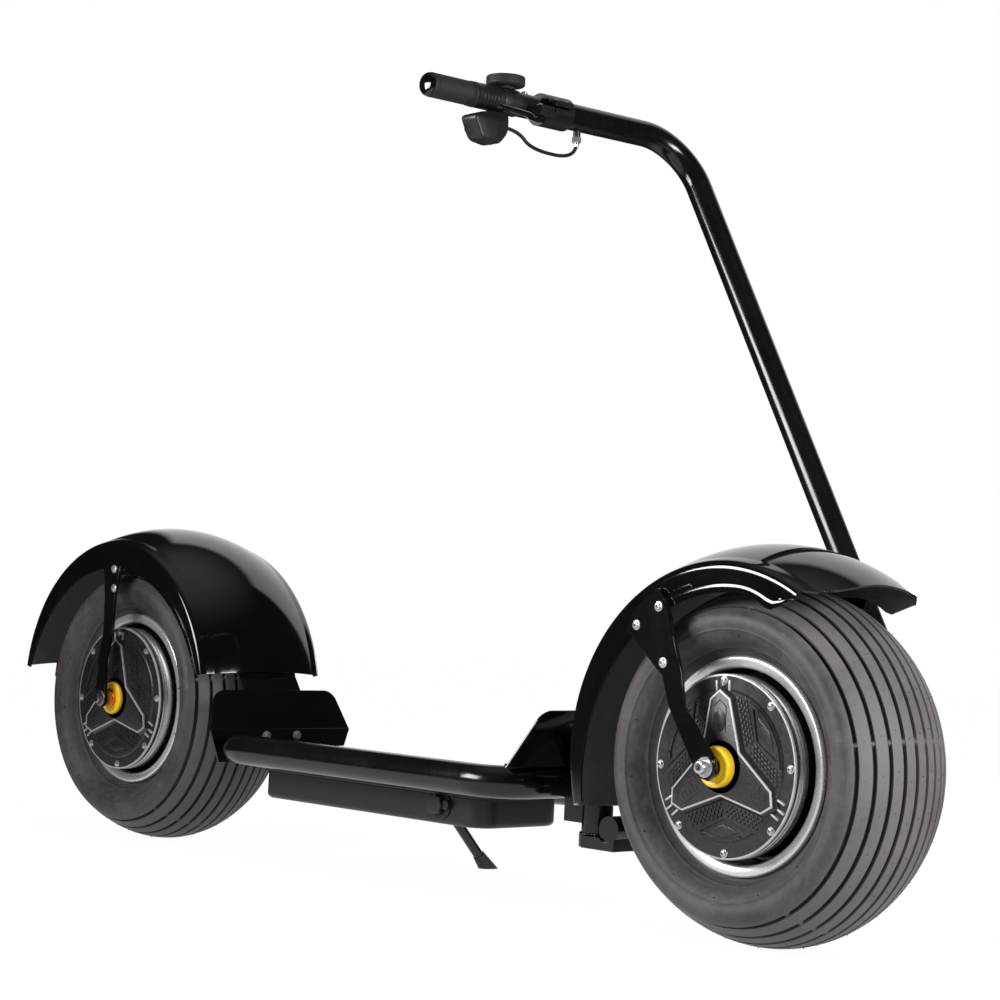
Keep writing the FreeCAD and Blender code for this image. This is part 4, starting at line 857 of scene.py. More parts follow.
def arms():
    """The star itself, and the skirt that slopes from its side down to the field."""
    block = prism(star(-0.3), FIELD - 1, ARM_TOP, 1.0)
    skirt = stacked([star(5.2), star(4.6), star(0.4), star(-1)],
                    [FIELD - 1, FIELD + 0.3, ARM_TOP - 1.6, ARM_TOP - 1.6])
    reliefs = [moved(arm_relief(number == 0), (0, 0, 0),
                     (*turn_flat([(1, 0)], 120 * number)[0], 0),
                     (*turn_flat([(0, 1)], 120 * number)[0], 0)) for number in range(3)]
    return joined([block, skirt] + reliefs)


def bright_lines():
    """The thin bright line along the star's edge, the three short bars beyond each arm, and the
    silver ring on the cover's rim, a painted highlight.
    """
    edge = stacked([star(0.5), star(0.5), star(0), star(-1.9), star(-2.2), star(-2.2)],
                   [ARM_TOP - 2, ARM_TOP - 0.5, ARM_TOP + 0.3, ARM_TOP + 0.4, ARM_TOP,
                    ARM_TOP - 1.5], capped=False)
    bars = joined([ridge((u, start), (u * 1.06, start + 13), 2.6, 97, 100.4)
                   for u, start in ((-10, 93.5), (0, 98), (10, 93.5))])
    return joined([edge, turned_copies(bars, 3), lathe(COVER_RIM_HIGHLIGHT, 256)])


# %% [markdown]
# Eight screws hold the cover at its rim. The drawing is stood up on each wheel, where black
# plate, bright lines and screws are pieces of their own, because they differ in finish.

# %% Covers on the wheels
COVER_SCREW = [(0, 5.4, 0), (0.5, 5.6, 0), (1.0, 5.4, 0), (1.1, 3.7, 0), (3.0, 3.7, 0),
               (3.9, 3.1, 0), (4.2, 2.1, 0), (4.2, 1.9, 1), (2.2, 1.9, 1), (2.2, 0, 1)]


def cover_frame(form, x):
    """The flat drawing stood up on the right side of the wheel, and leant back."""
    c, s = np.cos(ARM_TURN), np.sin(ARM_TURN)
    return moved(form, (x * 1000, 0, AXLE_HEIGHT * 1000), (c, 0, -s), (s, 0, c), (0, -1, 0))


third = joined([bricks(), three_corner_frame()])
black_parts = joined([lathe(COVER, 256), lathe(COVER_BOSS, 96), arms(), turned_copies(third, 3)])
bright_parts = bright_lines()
screws = turned_copies(moved(head(COVER_SCREW), (106.6, 0, 97.9)), 8, -0.5)
for name, x in WHEELS.items():
    wheel = f"{name}_wheel"
    piece(f"{name}_cover_plate", cover_frame(black_parts, x), wheel, cover_black, "hub_cover",
          [f"{name}_hub_cover"], 25)
    piece(f"{name}_cover_lines", cover_frame(bright_parts, x), wheel, silver_line, "steel")
    piece(f"{name}_cover_screws", cover_frame(screws, x), wheel, bright_steel, "steel")
print("cover points", len(black_parts[0]) + len(bright_parts[0]))

# %% [markdown]
# ## Spacers and axle ends
#
# A yellow moulded spacer fills the gap between cover and strap. On the rear axle it is thin, and
# the copper-coloured sleeve beside it shows. The only bright colour on the scooter sits here, so
# the mouldings get soft rims by corner cutting, where a plain cylinder would look drawn.

# %% Spacers and axle bolts
FRONT_SPACER = [(-107.2, 11), (-107.2, 24.6), (-108.6, 26), (-117.6, 26), (-119.4, 24.4),
                (-119.8, 21.8), (-118.9, 19.8), (-118.9, 16.4), (-119.8, 15), (-119.8, 11)]
REAR_SPACER = [(-107.2, 11), (-107.2, 24.8), (-108.4, 26.2), (-112.6, 26.2), (-114.2, 24.8),
               (-114.8, 22), (-114.2, 15), (-114.2, 11)]
SLEEVE = [(-113, 10), (-113, 14.6), (-114, 15), (-118, 15), (-118.6, 13.2), (-127.8, 13.2),
          (-127.8, 10)]
AXLE_BOLT = [(0, 12.4, 0), (0.6, 12.8, 0), (1.7, 12.8, 0), (2.2, 12.2, 0), (2.3, 8.4, 0),
             (10.6, 8.4, 0), (12.2, 7.4, 0), (12.6, 6.2, 0), (12.6, 4.3, 1), (6.2, 4.3, 1),
             (6.2, 0, 1)]
STRAP_FACE = 134                      # the straps' outer face, this far out on the right
BOLT_SCALE = {"front": 1.0, "rear": 0.72}

piece("front_spacer", wheel_frame(lathe(smoothed(FRONT_SPACER, 2, True)), WHEELS["front"]),
      "steering", yellow, "bushing", ["front_bushing"])
piece("rear_spacer", wheel_frame(lathe(smoothed(REAR_SPACER, 2, True)), WHEELS["rear"]),
      "frame", yellow, "bushing", ["rear_bushing"])
piece("rear_axle_sleeve", wheel_frame(lathe(SLEEVE, 96), WHEELS["rear"]), "frame", copper,
      "steel")
for name, body, finish in (("front", "steering", bright_steel), ("rear", "frame", dark_steel)):
    bolt = head(np.array(AXLE_BOLT) * [BOLT_SCALE[name], 1, 1], 72)
    piece(f"{name}_axle_bolt",
          facing_right(bolt, WHEELS[name] * 1000, -STRAP_FACE, AXLE_HEIGHT * 1000),
          body, finish, "steel")
print("spacers done")

# %% [markdown]
# ## Fenders
#
# Deep gloss fenders, pressed from sheet, and their outline against white is half of the picture.
# They could be a subdivided cage, but a cage has to be pulled about for every edge, while the
# real outline follows from two cuts. So a fender is one grid. Across, its section runs up one
# side wall, over the shoulder and crown and down the other side. Along, it follows the wheel.
#
# Each column of points has its own first angle, because the nose of the front fender is cut to
# an arc in plan view. The side walls reach down to a circle whose centre lies under the axle, so
# they are a crescent, and their lower band is stepped out a little. The inner skin is the same
# grid moved in by the wall's thickness, and the edges join the two.

# %% Fenders
CROWN_RADIUS, EDGE_RADIUS = 280.0, 243.0    # from the axle to the crown, and to the shoulder
SIDE_HALF, WALL = 120.0, 3.0                # half the width, and the sheet
CROWN_BEND, CROWN_HALF = 230.0, 98.0        # the crown's radius across the wheel, half its width
# plan view of the front fender's nose: (distance from the centre plane, reach past the axle)
NOSE = np.array([(0, 155.5), (30, 155), (45, 153.8), (60, 151.8), (75, 147.8), (90, 141),
                 (98, 136.3), (105, 132), (113, 125.2), (119, 119.5), (120, 119.5)])
# the lower cut is a circle about a point that lies CRESCENT_DROP under the axle
CRESCENT_RADIUS, CRESCENT_DROP = 246.0, 36.0
# the lobe of the front wall: how much lower it hangs, past which angle, and over how many degrees
LOBE_DROP, LOBE_ANGLE, LOBE_SPAN = 11.0, 84.0, 14.0
LOBE_LINE = np.array([(85.0, 198.0), (141.0, 219.0)])    # ahead of the axle, and above it
STEP_IN = 1.5
LOWEST_EDGE = 200.0
FENDER_ROWS = 138                               # rows of points along a fender


def fender_form(low, high, nose):
    """low and high are angles in degrees; nose says whether the low end is the shaped one.
    A point at angle a and radius r lies at (r cos a, r sin a). The crown's radius falls by
    y^2 / (2 bend). The lower cut is the far root of the circle about the point under the axle:
    r = -drop cos(turn) + sqrt(radius^2 - (drop sin(turn))^2)."""
    edge = SIDE_HALF - STEP_IN
    y = np.linspace(-CROWN_HALF, CROWN_HALF, 57)
    crown = np.column_stack([y, CROWN_RADIUS - y ** 2 / (2 * CROWN_BEND)])
    corner = np.array([(-edge, EDGE_RADIUS), (-edge, 249), (-113, 254.6), (-106, 257)])
    over = smoothed(np.concatenate([corner, crown, corner[::-1] * [-1, 1]]), 2)
    # the side wall: t is 0 at its lower edge and 1 where the shoulder starts, and the step
    # takes the band above t = 0.4 inwards
    t = np.array([0, 0.04, 0.2, 0.36, 0.4, 0.44, 0.6, 0.8, 1.0])
    out = np.array([0, 0, 0, 0, 0.35, 1, 1, 1, 1]) * STEP_IN
    wall_y = np.concatenate([-(SIDE_HALF - out), over[1:-1, 0], (SIDE_HALF - out)[::-1]])
    count_wall, count = len(t), len(over) - 2 + 2 * len(t)
    wall_r = LOWEST_EDGE + t * (EDGE_RADIUS - LOWEST_EDGE)
    section_r = np.concatenate([wall_r, over[1:-1, 1], wall_r[::-1]])
    slope = np.gradient(np.column_stack([wall_y, section_r]), axis=0)
    slope /= np.linalg.norm(slope, axis=1, keepdims=True)
    inward_y, inward_r = slope[:, 1] * WALL, -slope[:, 0] * WALL

    steps = np.linspace(0, 1, FENDER_ROWS)[:, None]
    on_wall = np.full(count_wall, EDGE_RADIUS)
    crown_radius = np.concatenate([on_wall, over[1:-1, 1], on_wall])
    start = np.full(count, np.radians(low))
    if nose:
        nose_line = smoothed(NOSE, 3)
        plan = np.interp(np.abs(wall_y), nose_line[:, 0], nose_line[:, 1])
        start = np.arccos(plan / crown_radius)
        start[:count_wall] = start[-count_wall:] = np.arccos(NOSE[-1, 1] / EDGE_RADIUS)
    theta = start + (np.radians(high) - start) * steps
    middle = np.radians(low + high) / 2
    turn = theta - middle
    bottom = (-CRESCENT_DROP * np.cos(turn)
              + np.sqrt(CRESCENT_RADIUS ** 2 - (CRESCENT_DROP * np.sin(turn)) ** 2))
    if nose:
        # the wall hangs lower in a lobe, whose end follows a straight line up to the nose: the
        # line's radius at an angle is the cross product of its start and its direction, over
        # that of the angle's direction and its own
        lobe = np.clip((LOBE_ANGLE - np.degrees(theta)) / LOBE_SPAN, 0, 1)
        bottom = bottom - LOBE_DROP * lobe ** 2
        (start_x, start_z), (run_x, run_z) = LOBE_LINE[0], LOBE_LINE[1] - LOBE_LINE[0]
        line = ((start_x * run_z - start_z * run_x)
                / (np.cos(theta) * run_z - np.sin(theta) * run_x))
        past_corner = theta < np.arctan2(start_z, start_x)
        bottom = np.where(past_corner, np.maximum(bottom, line), bottom)
    bottom = np.clip(bottom, LOWEST_EDGE, EDGE_RADIUS - 2)
    radius = np.broadcast_to(crown_radius, theta.shape).copy()
    walls = (slice(0, count_wall), t), (slice(count - count_wall, count), t[::-1])
    for columns, fraction in walls:
        radius[:, columns] = bottom[:, columns] + (EDGE_RADIUS - bottom[:, columns]) * fraction
    outer = np.stack([radius * np.cos(theta), radius * np.sin(theta),
                      np.broadcast_to(wall_y, theta.shape)], -1)
    radius_in = radius + inward_r
    inner = np.stack([radius_in * np.cos(theta), radius_in * np.sin(theta),
                      np.broadcast_to(wall_y + inward_y, theta.shape)], -1)

    # each row is a closed loop, out along the outer skin and back along the inner one, and the
    # first and last rows are closed by quads between the skins
    loop = np.concatenate([outer, inner[:, ::-1]], axis=1)
    quads = grid_faces(FENDER_ROWS, 2 * count, False, True)
    ends = []
    column = np.arange(count - 1)
    for row in (0, FENDER_ROWS - 1):
        base = row * 2 * count
        ends.append(np.stack([base + column, base + column + 1, base + 2 * count - 2 - column,
                              base + 2 * count - 1 - column], -1))
    return loop.reshape(-1, 3), [quads] + ends, np.zeros(loop.shape[0] * loop.shape[1]), count


def make_fender(name, x, low, high, nose, body):
    """The shell as a piece: its inner faces take the dull paint, and its edge is rolled."""
    points, groups, marks, count = fender_form(low, high, nose)
    form = wheel_frame((points, groups, marks), x)
    inside = np.tile(np.concatenate([np.zeros(count), np.ones(count)]), FENDER_ROWS)
    shell = piece(name + "_shell", form, body, gloss_black, "fender", [name], 38, inside=inside)
    shell.data.materials.append(fender_inside)
    values = np.zeros(len(shell.data.vertices), np.float32)
    shell.data.attributes["inside"].data.foreach_get("value", values)
    corners = np.zeros(len(shell.data.loops), np.int32)
    shell.data.loops.foreach_get("vertex_index", corners)
    starts = np.zeros(len(shell.data.polygons), np.int32)
    shell.data.polygons.foreach_get("loop_start", starts)
    inner_face = np.minimum.reduceat(values[corners], starts) > 0.5
    shell.data.polygons.foreach_set("material_index", inner_face.astype(np.int32))
    rim = shell.modifiers.new("rolled edge", "BEVEL")
    rim.width = 0.9 * MM
    rim.segments = 2
    rim.limit_method = "ANGLE"
    rim.angle_limit = np.radians(50)
    return shell


make_fender("front_fender", WHEELS["front"], 50, 196, True, "steering")
make_fender("rear_fender", WHEELS["rear"], 12, 171, False, "frame")
print("fenders done")

# %% [markdown]
# ## Bolts and welds
#
# Small bright heads tell the eye how big the scooter is. Each kind comes from one table of rings
# and is laid where the plates are joined. Instances would save memory, but a joined mesh goes
# through every export. A weld is a ring whose section swells and shrinks along its length, as a
# row of small melted pools does.

# %% Bolts and welds
BUTTON = [(0, 6.4, 0), (0.9, 6.6, 0), (1.2, 6.2, 0), (1.3, 5.0, 0), (2.6, 4.7, 0),
          (3.8, 3.6, 0), (4.1, 2.4, 0), (4.1, 2.1, 1), (2.0, 2.1, 1), (2.0, 0, 1)]
HEX = [(0, 7.4, 0), (1.0, 7.6, 0), (1.3, 7.2, 0), (1.4, 5.2, 1), (5.2, 5.2, 1), (5.9, 5.0, 0),
       (6.1, 4.2, 0), (6.1, 0, 0)]
REAR_STAY_BOLTS = [(-645, -126, 438), (-643, -126, 407)]    # and their mirror images
STEERED_BOLTS = [(524, -128, 398), (561, -128, 423), (578, -134, 353)]

button, hex_head = head(BUTTON), head(HEX)
piece("rear_stay_bolts",
      joined([facing_right(button, x, y, z) for x, y, z in REAR_STAY_BOLTS]
             + [facing_left(button, x, -y, z) for x, y, z in REAR_STAY_BOLTS]),
      "frame", bright_steel, "steel")
piece("front_stay_bolts", joined([facing_right(button, *spot) for spot in STEERED_BOLTS]),
      "steering", bright_steel, "steel")
piece("left_axle_nuts", facing_left(head(np.array(HEX) * [1.3, 1.6, 1], 72), -655, 138, 229),
      "frame", bright_steel, "steel")
piece("front_left_axle_nut",
      facing_left(head(np.array(HEX) * [0.95, 1.6, 1], 72), 655, 141.9, 229), "steering",
      bright_steel, "steel")
piece("rear_plate_bolts",
      joined([moved(hex_head, (-350, y, 190), (0, 1, 0), (0, 0, 1), (1, 0, 0))
              for y in (-30, 30)]), "frame", bright_steel, "steel")


def weld(centre, axis, radius, section=1.9):
    """A ring about an axis. At the angle t its section's radius is s (1 + 0.22 sin(pools t)),
    with 1.6 pools for each millimetre of the ring's radius."""
    axis = np.asarray(axis, float) / np.linalg.norm(axis)
    first = np.cross(axis, [0, 1, 0.01])
    first /= np.linalg.norm(first)
    second = np.cross(axis, first)
    steps, sides = 180, 10
    t = np.arange(steps) * 2 * np.pi / steps
    a = np.arange(sides) * 2 * np.pi / sides
    pools = np.round(radius * 1.6)
    s = section * (1 + 0.22 * np.sin(pools * t))[:, None]
    out = np.cos(t)[:, None] * first + np.sin(t)[:, None] * second
    points = (np.asarray(centre, float) + out[:, None] * (radius + s * np.cos(a))[..., None]
              + axis * (s * np.sin(a))[..., None])
    return (points.reshape(-1, 3), [grid_faces(steps, sides, True, True)],
            np.zeros(steps * sides))


# for each body: (centre, axis, radius of the ring)
WELDS = {"steering": [((767, 142, 264), (-453, 0, 814), 17.6),
                      ((599, 142, 209), (-207, 0, -88), 17.6),
                      ((345, 0, 110.5), (0, 0, 1), 21.5)],
         "frame": [((-603, 132, 211), (125.5, 0, -63), 22.2), ((345, 0, 195.5), (0, 0, 1), 21)]}
for body, rows in WELDS.items():
    piece(f"{body}_welds", joined([weld(*row) for row in rows]), body, tube_black, "tube")
print("bolts and welds done")

# %% [markdown]
# ## Cut edges
#
# A CAD mesh is loose triangles with knife-sharp edges. For plates, a copy is merged, its flat
# triangles are dissolved into whole faces, and a bevel rounds the edges so that they catch the
# light, as cut and painted sheet does. The copy stands for the node and keeps its shape.

# %% Plates with rounded edges
# for each body: (node, finish, slot, width of the rounded edge in millimetres)
PLATES = {
    "frame": [("rear_stay_right", plate_black, "plate", 0.9),
              ("rear_stay_left", plate_black, "plate", 0.9),
              ("rear_dropout", plate_black, "plate", 1.2),
              ("rear_bulkhead", plate_black, "plate", 0.9),
              ("front_bulkhead", plate_black, "plate", 0.9),
              ("battery_box", satin_black, "plate", 1.0),
              ("rear_reflector", lens_red, "lens", 1.2)],
    "steering": [("fender_bracket_right", plate_black, "plate", 1.2),
                 ("fender_bracket_left", plate_black, "plate", 0.9),
                 ("front_stay", plate_black, "plate", 1.0),
                 ("knuckle", plate_black, "plate", 1.4),
                 ("tube_clamp", satin_black, "control", 0.9),
                 ("brake_perch", satin_black, "control", 0.9),
                 ("brake_caliper", satin_black, "plate", 1.2)],
}


def rounded_copy(name, body, material, slot, width):
    """A merged copy of a CAD node with rounded edges, which stands for the node."""
    work = bmesh.new()
    work.from_mesh(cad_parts[name].data)
    bmesh.ops.remove_doubles(work, verts=work.verts, dist=1e-5)
    bmesh.ops.dissolve_limit(work, angle_limit=np.radians(1.0), verts=work.verts,
                             edges=work.edges)
    bmesh.ops.recalc_face_normals(work, faces=work.faces)
    mesh = bpy.data.meshes.new(name + "_plate")
    work.to_mesh(mesh)
    work.free()
    mesh.shade_smooth()
    mesh.set_sharp_from_angle(angle=np.radians(32))
    mesh.materials.append(material)
    thing = bpy.data.objects.new(name + "_plate", mesh)
    scene.collection.objects.link(thing)
    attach(thing, body)
    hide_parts(name)
    bevel = thing.modifiers.new("cut edge", "BEVEL")
    bevel.width = width * MM
    bevel.segments = 2
    bevel.limit_method = "ANGLE"
    bevel.angle_limit = np.radians(38)
    return thing


for body, rows in PLATES.items():
    for row in rows:
        rounded_copy(row[0], body, *row[1:])
print(sum(len(rows) for rows in PLATES.values()), "plates rounded")

# %% [markdown]
# ## Handlebar controls
#
# Grip, throttle, gauge, horn switch and brake lever crowd on one thin bar, so most are lathe work
# about its line. The ribs of grip and throttle are a sine wave on the profile, which costs less
# than modelled rings and shades better than bump at this size. The lever is a flattened section
# swept along a curve, and it ends in a ball. The cable is a free cord, so it is a smooth curve
# through the CAD route's corner points and no tube of arcs.

# %% Handlebar controls
BAR_X, BAR_Z = 313.93, 1078.0     # the bar runs along Y through this point, in millimetres
GAUGE_PLACE = np.array([BAR_X + 2, -204, BAR_Z])
GRIP_RIB = 4.2                    # pitch of the grip's ribs
FLUTE = 6.0                       # pitch of the throttle's


def on_bar(profile, turns=96):
    """A profile of (place along the bar, radius) turned about the bar."""
    return moved(lathe(profile, turns), (BAR_X, 0, BAR_Z), (1, 0, 0), (0, 0, 1), (0, 1, 0))


def pillow(outline, low, high, edge):
    """A prism rounded off at both ends."""
    t = np.radians([90, 60, 30, 0])
    loops = [offset(outline, -edge * (1 - np.cos(a))) for a in t]
    heights = [low + edge * (1 - np.sin(a)) for a in t]
    return stacked(loops + loops[::-1], heights + [low + high - h for h in heights[::-1]])


y = np.linspace(-328, -270, 233)
ribs = 15.9 + 0.12 * np.sin((y + 270) * 2 * np.pi / GRIP_RIB)
grip_profile = np.concatenate([
    [(-337.4, 10.5), (-337.4, 10.2), (-338, 10.6), (-338, 13.4), (-337, 15.4), (-334, 16),
     (-331, 16), (-329, 15.2)],
    np.column_stack([y, ribs]),
    [(-268, 15.2), (-267, 16.6), (-263, 16.6), (-262.2, 15.8), (-262.2, 11.1)]])
piece("ribbed_grip", on_bar(grip_profile), "steering", rubber_black, "grip", ["grip"], 40)
PLUG = [(-3, 13.4, 0), (0, 14.8, 0), (1.6, 15, 0), (3.4, 13.8, 0), (5.2, 10.4, 0), (6.4, 5.4, 0),
        (6.8, 0, 0)]
piece("grip_plug", facing_right(head(PLUG, 48), BAR_X, -337.2, BAR_Z), "steering", gloss_black,
      "control")
y = np.linspace(-258, -222, 145)
flutes = 16.7 + 0.1 * np.sin((y + 222) * 2 * np.pi / FLUTE)
throttle_profile = np.concatenate([
    [(-262, 11.1), (-262, 15.8), (-261, 16.9), (-259.4, 16.9)], np.column_stack([y, flutes]),
    [(-219, 16.6), (-217, 16.6), (-216.4, 17.4), (-215.4, 17.8), (-202, 17.8), (-201.6, 17.2),
     (-200.6, 17.2), (-200.2, 17.8), (-185.6, 17.8), (-184.6, 16.8), (-184.6, 11.1)]])
piece("ribbed_throttle", on_bar(throttle_profile), "steering", plastic_black, "control",
      ["throttle"], 40)

puck = np.array([(19, 8), (19, 21), (19.8, 24), (21.4, 25.8), (23.4, 26), (23.8, 25.2),
                 (24.8, 25.2), (25.2, 26), (27.4, 26), (27.8, 25.2), (28.8, 25.2), (29.2, 26),
                 (31.4, 25.8), (32.7, 24.4), (33, 22.8), (32.5, 22.2), (32.5, 8)])
stalk = pillow(rounded([(-10, -8), (10, -8), (10, 8), (-10, 8)], 3), 16, 20, 0.8)
piece("gauge_puck", moved(joined([lathe(puck, 128), stalk]), GAUGE_PLACE), "steering",
      rubber_black, "control", ["gauge"])
glass = head([(31.6, 22.4, 0), (32.5, 22.2, 0), (32.8, 19, 0), (32.95, 0, 0)], 96)
piece("gauge_glass", moved(glass, GAUGE_PLACE), "steering", gloss_black, "lens")

housing = rounded([(-268, 1050), (-238, 1059.8), (-206, 1059.8), (-206, 1034), (-222, 1016),
                   (-252, 1020)], 8, 7)
across_bar = (BAR_X, 0, 0), (0, 1, 0), (0, 0, 1), (1, 0, 0)
piece("horn_housing", moved(pillow(housing, -15, 15, 3), *across_bar), "steering",
      plastic_black, "control", ["horn_switch"])
horn_button = head([(13, 7, 0), (17, 6.8, 0), (18.4, 5.4, 0), (18.6, 0, 0)], 40)
buttons = joined([moved(horn_button, (BAR_X, spot_y, spot_z), (0, 1, 0), (0, 0, 1), (-1, 0, 0))
                  for spot_y, spot_z in ((-250, 1036), (-225, 1042))])
piece("horn_buttons", buttons, "steering", rubber_black, "control")
seam = pillow(offset(housing, 0.35), -0.7, 0.7, 0.3)
piece("horn_seam", moved(seam, *across_bar), "steering", rubber_black, "control")
print("grip, throttle, gauge and horn done")

# %% Brake lever and small bolts
# the lever's middle line: (ahead of the bar, place along the bar), and its width along it
blade = smoothed([(36, -166), (37, -176), (40, -190), (48, -202), (52, -222), (56, -246),
                  (58.5, -262), (57, -268)], 3)
BLADE_DROP = 22.7                 # the lever lies this far under the bar
blade = np.column_stack([BAR_X + blade[:, 0], blade[:, 1],
                         np.full(len(blade), BAR_Z - BLADE_DROP)])
along_blade = np.linspace(0, 1, len(blade))
thick = np.interp(along_blade, [0, 0.04, 0.3, 0.55, 0.9, 0.93, 0.97, 1],
                  [5.5, 6.6, 6.2, 5.0, 4.4, 5.4, 5.4, 2.0])
blade_form = swept(blade, thick, 28, (0, 0, 1), 0.72)
piece("lever_blade", blade_form, "steering", plate_black, "lever", ["brake_lever"])

small_hex = head(np.array(HEX) * [0.6, 0.62, 1])
small_button = head(np.array(BUTTON) * [0.8, 0.8, 1])
tiny_button = head(np.array(BUTTON) * [0.5, 0.5, 1])
piece("control_bolts", joined([
    moved(small_button, (BAR_X + 34, -170, BAR_Z - 4)),
    moved(small_hex, (BAR_X + 24, -114, BAR_Z + 9)),
    moved(small_hex, (BAR_X + 24, -131, BAR_Z + 9)),
    moved(small_button, (BAR_X, -168, BAR_Z + 16)),
    facing_right(tiny_button, BAR_X + 9, -216.1, BAR_Z + 10)]),
    "steering", bright_steel, "steel")
print("lever", round(float(np.linalg.norm(np.diff(blade, axis=0), axis=1).sum())), "mm long")

# %% Switch cable
# it runs from the switch under the bar to the gland: the CAD route's corner points
ROUTE = [(BAR_X, -206, 1044), (BAR_X, -176, 1044), (BAR_X, -150, 1022), (BAR_X, -66, 1022),
         (BAR_X, -66, 1044)]
CABLE_RADIUS = 2.5
curve = bpy.data.curves.new("switch_cable_line", "CURVE")
curve.dimensions = "3D"
spline = curve.splines.new("NURBS")
spline.points.add(len(ROUTE) - 1)
for point, spot in zip(spline.points, ROUTE):
    point.co = (*(np.array(spot) * MM), 1)
spline.order_u = 3
spline.use_endpoint_u = True
spline.resolution_u = 16
curve.bevel_depth = CABLE_RADIUS * MM
curve.bevel_resolution = 6
curve.use_fill_caps = True
curve.materials.append(cable_sheath)
cable = bpy.data.objects.new("switch_cable_line", curve)
scene.collection.objects.link(cable)
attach(cable, "steering")
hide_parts("switch_cable")

gland = head([(-4, 5.6, 1), (3, 5.6, 1), (4, 5.0, 0), (4, 3.6, 0), (9, 3.4, 0), (9, 0, 0)])
piece("gland_nut", moved(gland, (BAR_X, -66, 1048), (1, 0, 0), (0, 1, 0), (0, 0, -1)),
      "steering", bright_steel, "steel")
print("cable and gland done")

# %% [markdown]
# ## Deck, box and brake
#
# Screws hold the deck board. A gasket line and a lip show that the battery box is a lid on a
# tray, which a plain block wouldn't say. The charge port gets a knurled ring, and the brake disc
# its bolts and painted holes. The holes are black discs a hair above the metal, painted shade
# that stands for the holes, because the disc keeps its CAD form and nothing shows through it
# from any side.

# %% Deck, box and brake
SUNK = [(0, 5.2, 0), (0.5, 5.2, 0), (0.8, 4.6, 0), (0.8, 2.0, 1), (-0.6, 2.0, 1), (-0.6, 0, 1)]
DECK_TOP = 168
deck_spots = [(x, y, DECK_TOP) for x in (-270, -90, 90, 244) for y in (-92, 92)]
piece("deck_screws", copies_at(head(SUNK), deck_spots), "frame", bright_steel, "steel")

box_outline = rounded([(-296, -82), (200, -82), (200, 82), (-296, 82)], 36, 12)
gasket = pillow(offset(box_outline, 0.8), 141.5, 144, 0.6)
lid_lip = pillow(offset(box_outline, 1.6), 144, 149, 1.2)
piece("box_gasket", gasket, "frame", rubber_black, "cable")
piece("box_lip", lid_lip, "frame", satin_black, "plate")

knurl = head([(7, 13.4, 0), (7.6, 14.0, 0), (9.4, 14.0, 0), (10, 13.2, 0), (10.1, 9, 0),
              (9.4, 8.6, 0), (9.4, 0, 0)], 60)
tooth = prism([(-0.6, -3.2), (1.3, -2.6), (1.3, 2.6), (-0.6, 3.2)], 5, 9.5)
teeth = turned_copies(moved(tooth, (13.9, 0, 0)), 8)
piece("port_knurl", facing_right(joined([knurl, teeth]), 114, -82, 130), "frame", rubber_black,
      "control")

disc_bolts = turned_copies(moved(head(DISC_BOLT), (28, 0, 81)), 6, 30)
piece("brake_disc_bolts", wheel_frame(disc_bolts, WHEELS["front"]), "front_wheel",
      bright_steel, "steel")
# black discs a hair above the disc's face: painted shade where the drilled holes would be
hole = head([(80.9, 3.4, 0), (81.08, 3.4, 0), (81.08, 0, 0)], 24)
holes = joined([turned_copies(moved(hole, (radius, 0, 0)), 16, start)
                for radius, start in ((68, 0), (59, 7), (50, 14))])
piece("brake_disc_painted_holes", wheel_frame(holes, WHEELS["front"]), "front_wheel", rubber_black,
      "control")
print("deck, box and brake done")

# %% [markdown]
# ## Studio
#
# A product picture of black gloss is a picture of what the gloss mirrors. In a plain white room
# all of it would turn grey, and in a dark one its form would be lost. So the camera sees white,
# and reflections see something else: a dark room with a dim ceiling, one pale wall to the left
# that the fenders' crowns mirror, and a lit patch of floor for the undersides. Light Path tells
# the two kinds of ray apart. The floor keeps a faint shadow.

# %% Studio
FLOOR_HALF = 9.0
PAPER_SHARE = 0.1            # how much of the lit floor the camera sees, and so of the shadow
PATCH_PLACE, PATCH_FROM, PATCH_TO = (0.2, -0.8, 0), 1.1, 2.0
CEILING, CEILING_LOW = 0.33, 0.012
WALL_LEVEL, WALL_TOWARD = 0.85, (-0.469, 0.883, 0)
DIFFUSE_WORLD = 0.6          # what lights the dull surfaces from all round

floor_mesh = bpy.data.meshes.new("studio_floor")
floor_mesh.from_pydata([(-FLOOR_HALF, -FLOOR_HALF, 0), (FLOOR_HALF, -FLOOR_HALF, 0),
                        (FLOOR_HALF, FLOOR_HALF, 0), (-FLOOR_HALF, FLOOR_HALF, 0)], [],
                       [(0, 1, 2, 3)])
floor = bpy.data.objects.new("studio_floor", floor_mesh)
scene.collection.objects.link(floor)

floor_white = bpy.data.materials.new("studio_white")
floor_white.use_nodes = True
graph = Graph(floor_white.node_tree)
floor_white.node_tree.nodes.remove(floor_white.node_tree.nodes["Principled BSDF"])
ray = graph.add("ShaderNodeLightPath").outputs
paper = graph.add("ShaderNodeBsdfDiffuse", {"Color": (0.5, 0.5, 0.5, 1)}).outputs[0]
white = graph.add("ShaderNodeEmission", {"Color": (1, 1, 1, 1), "Strength": 1.075}).outputs[0]
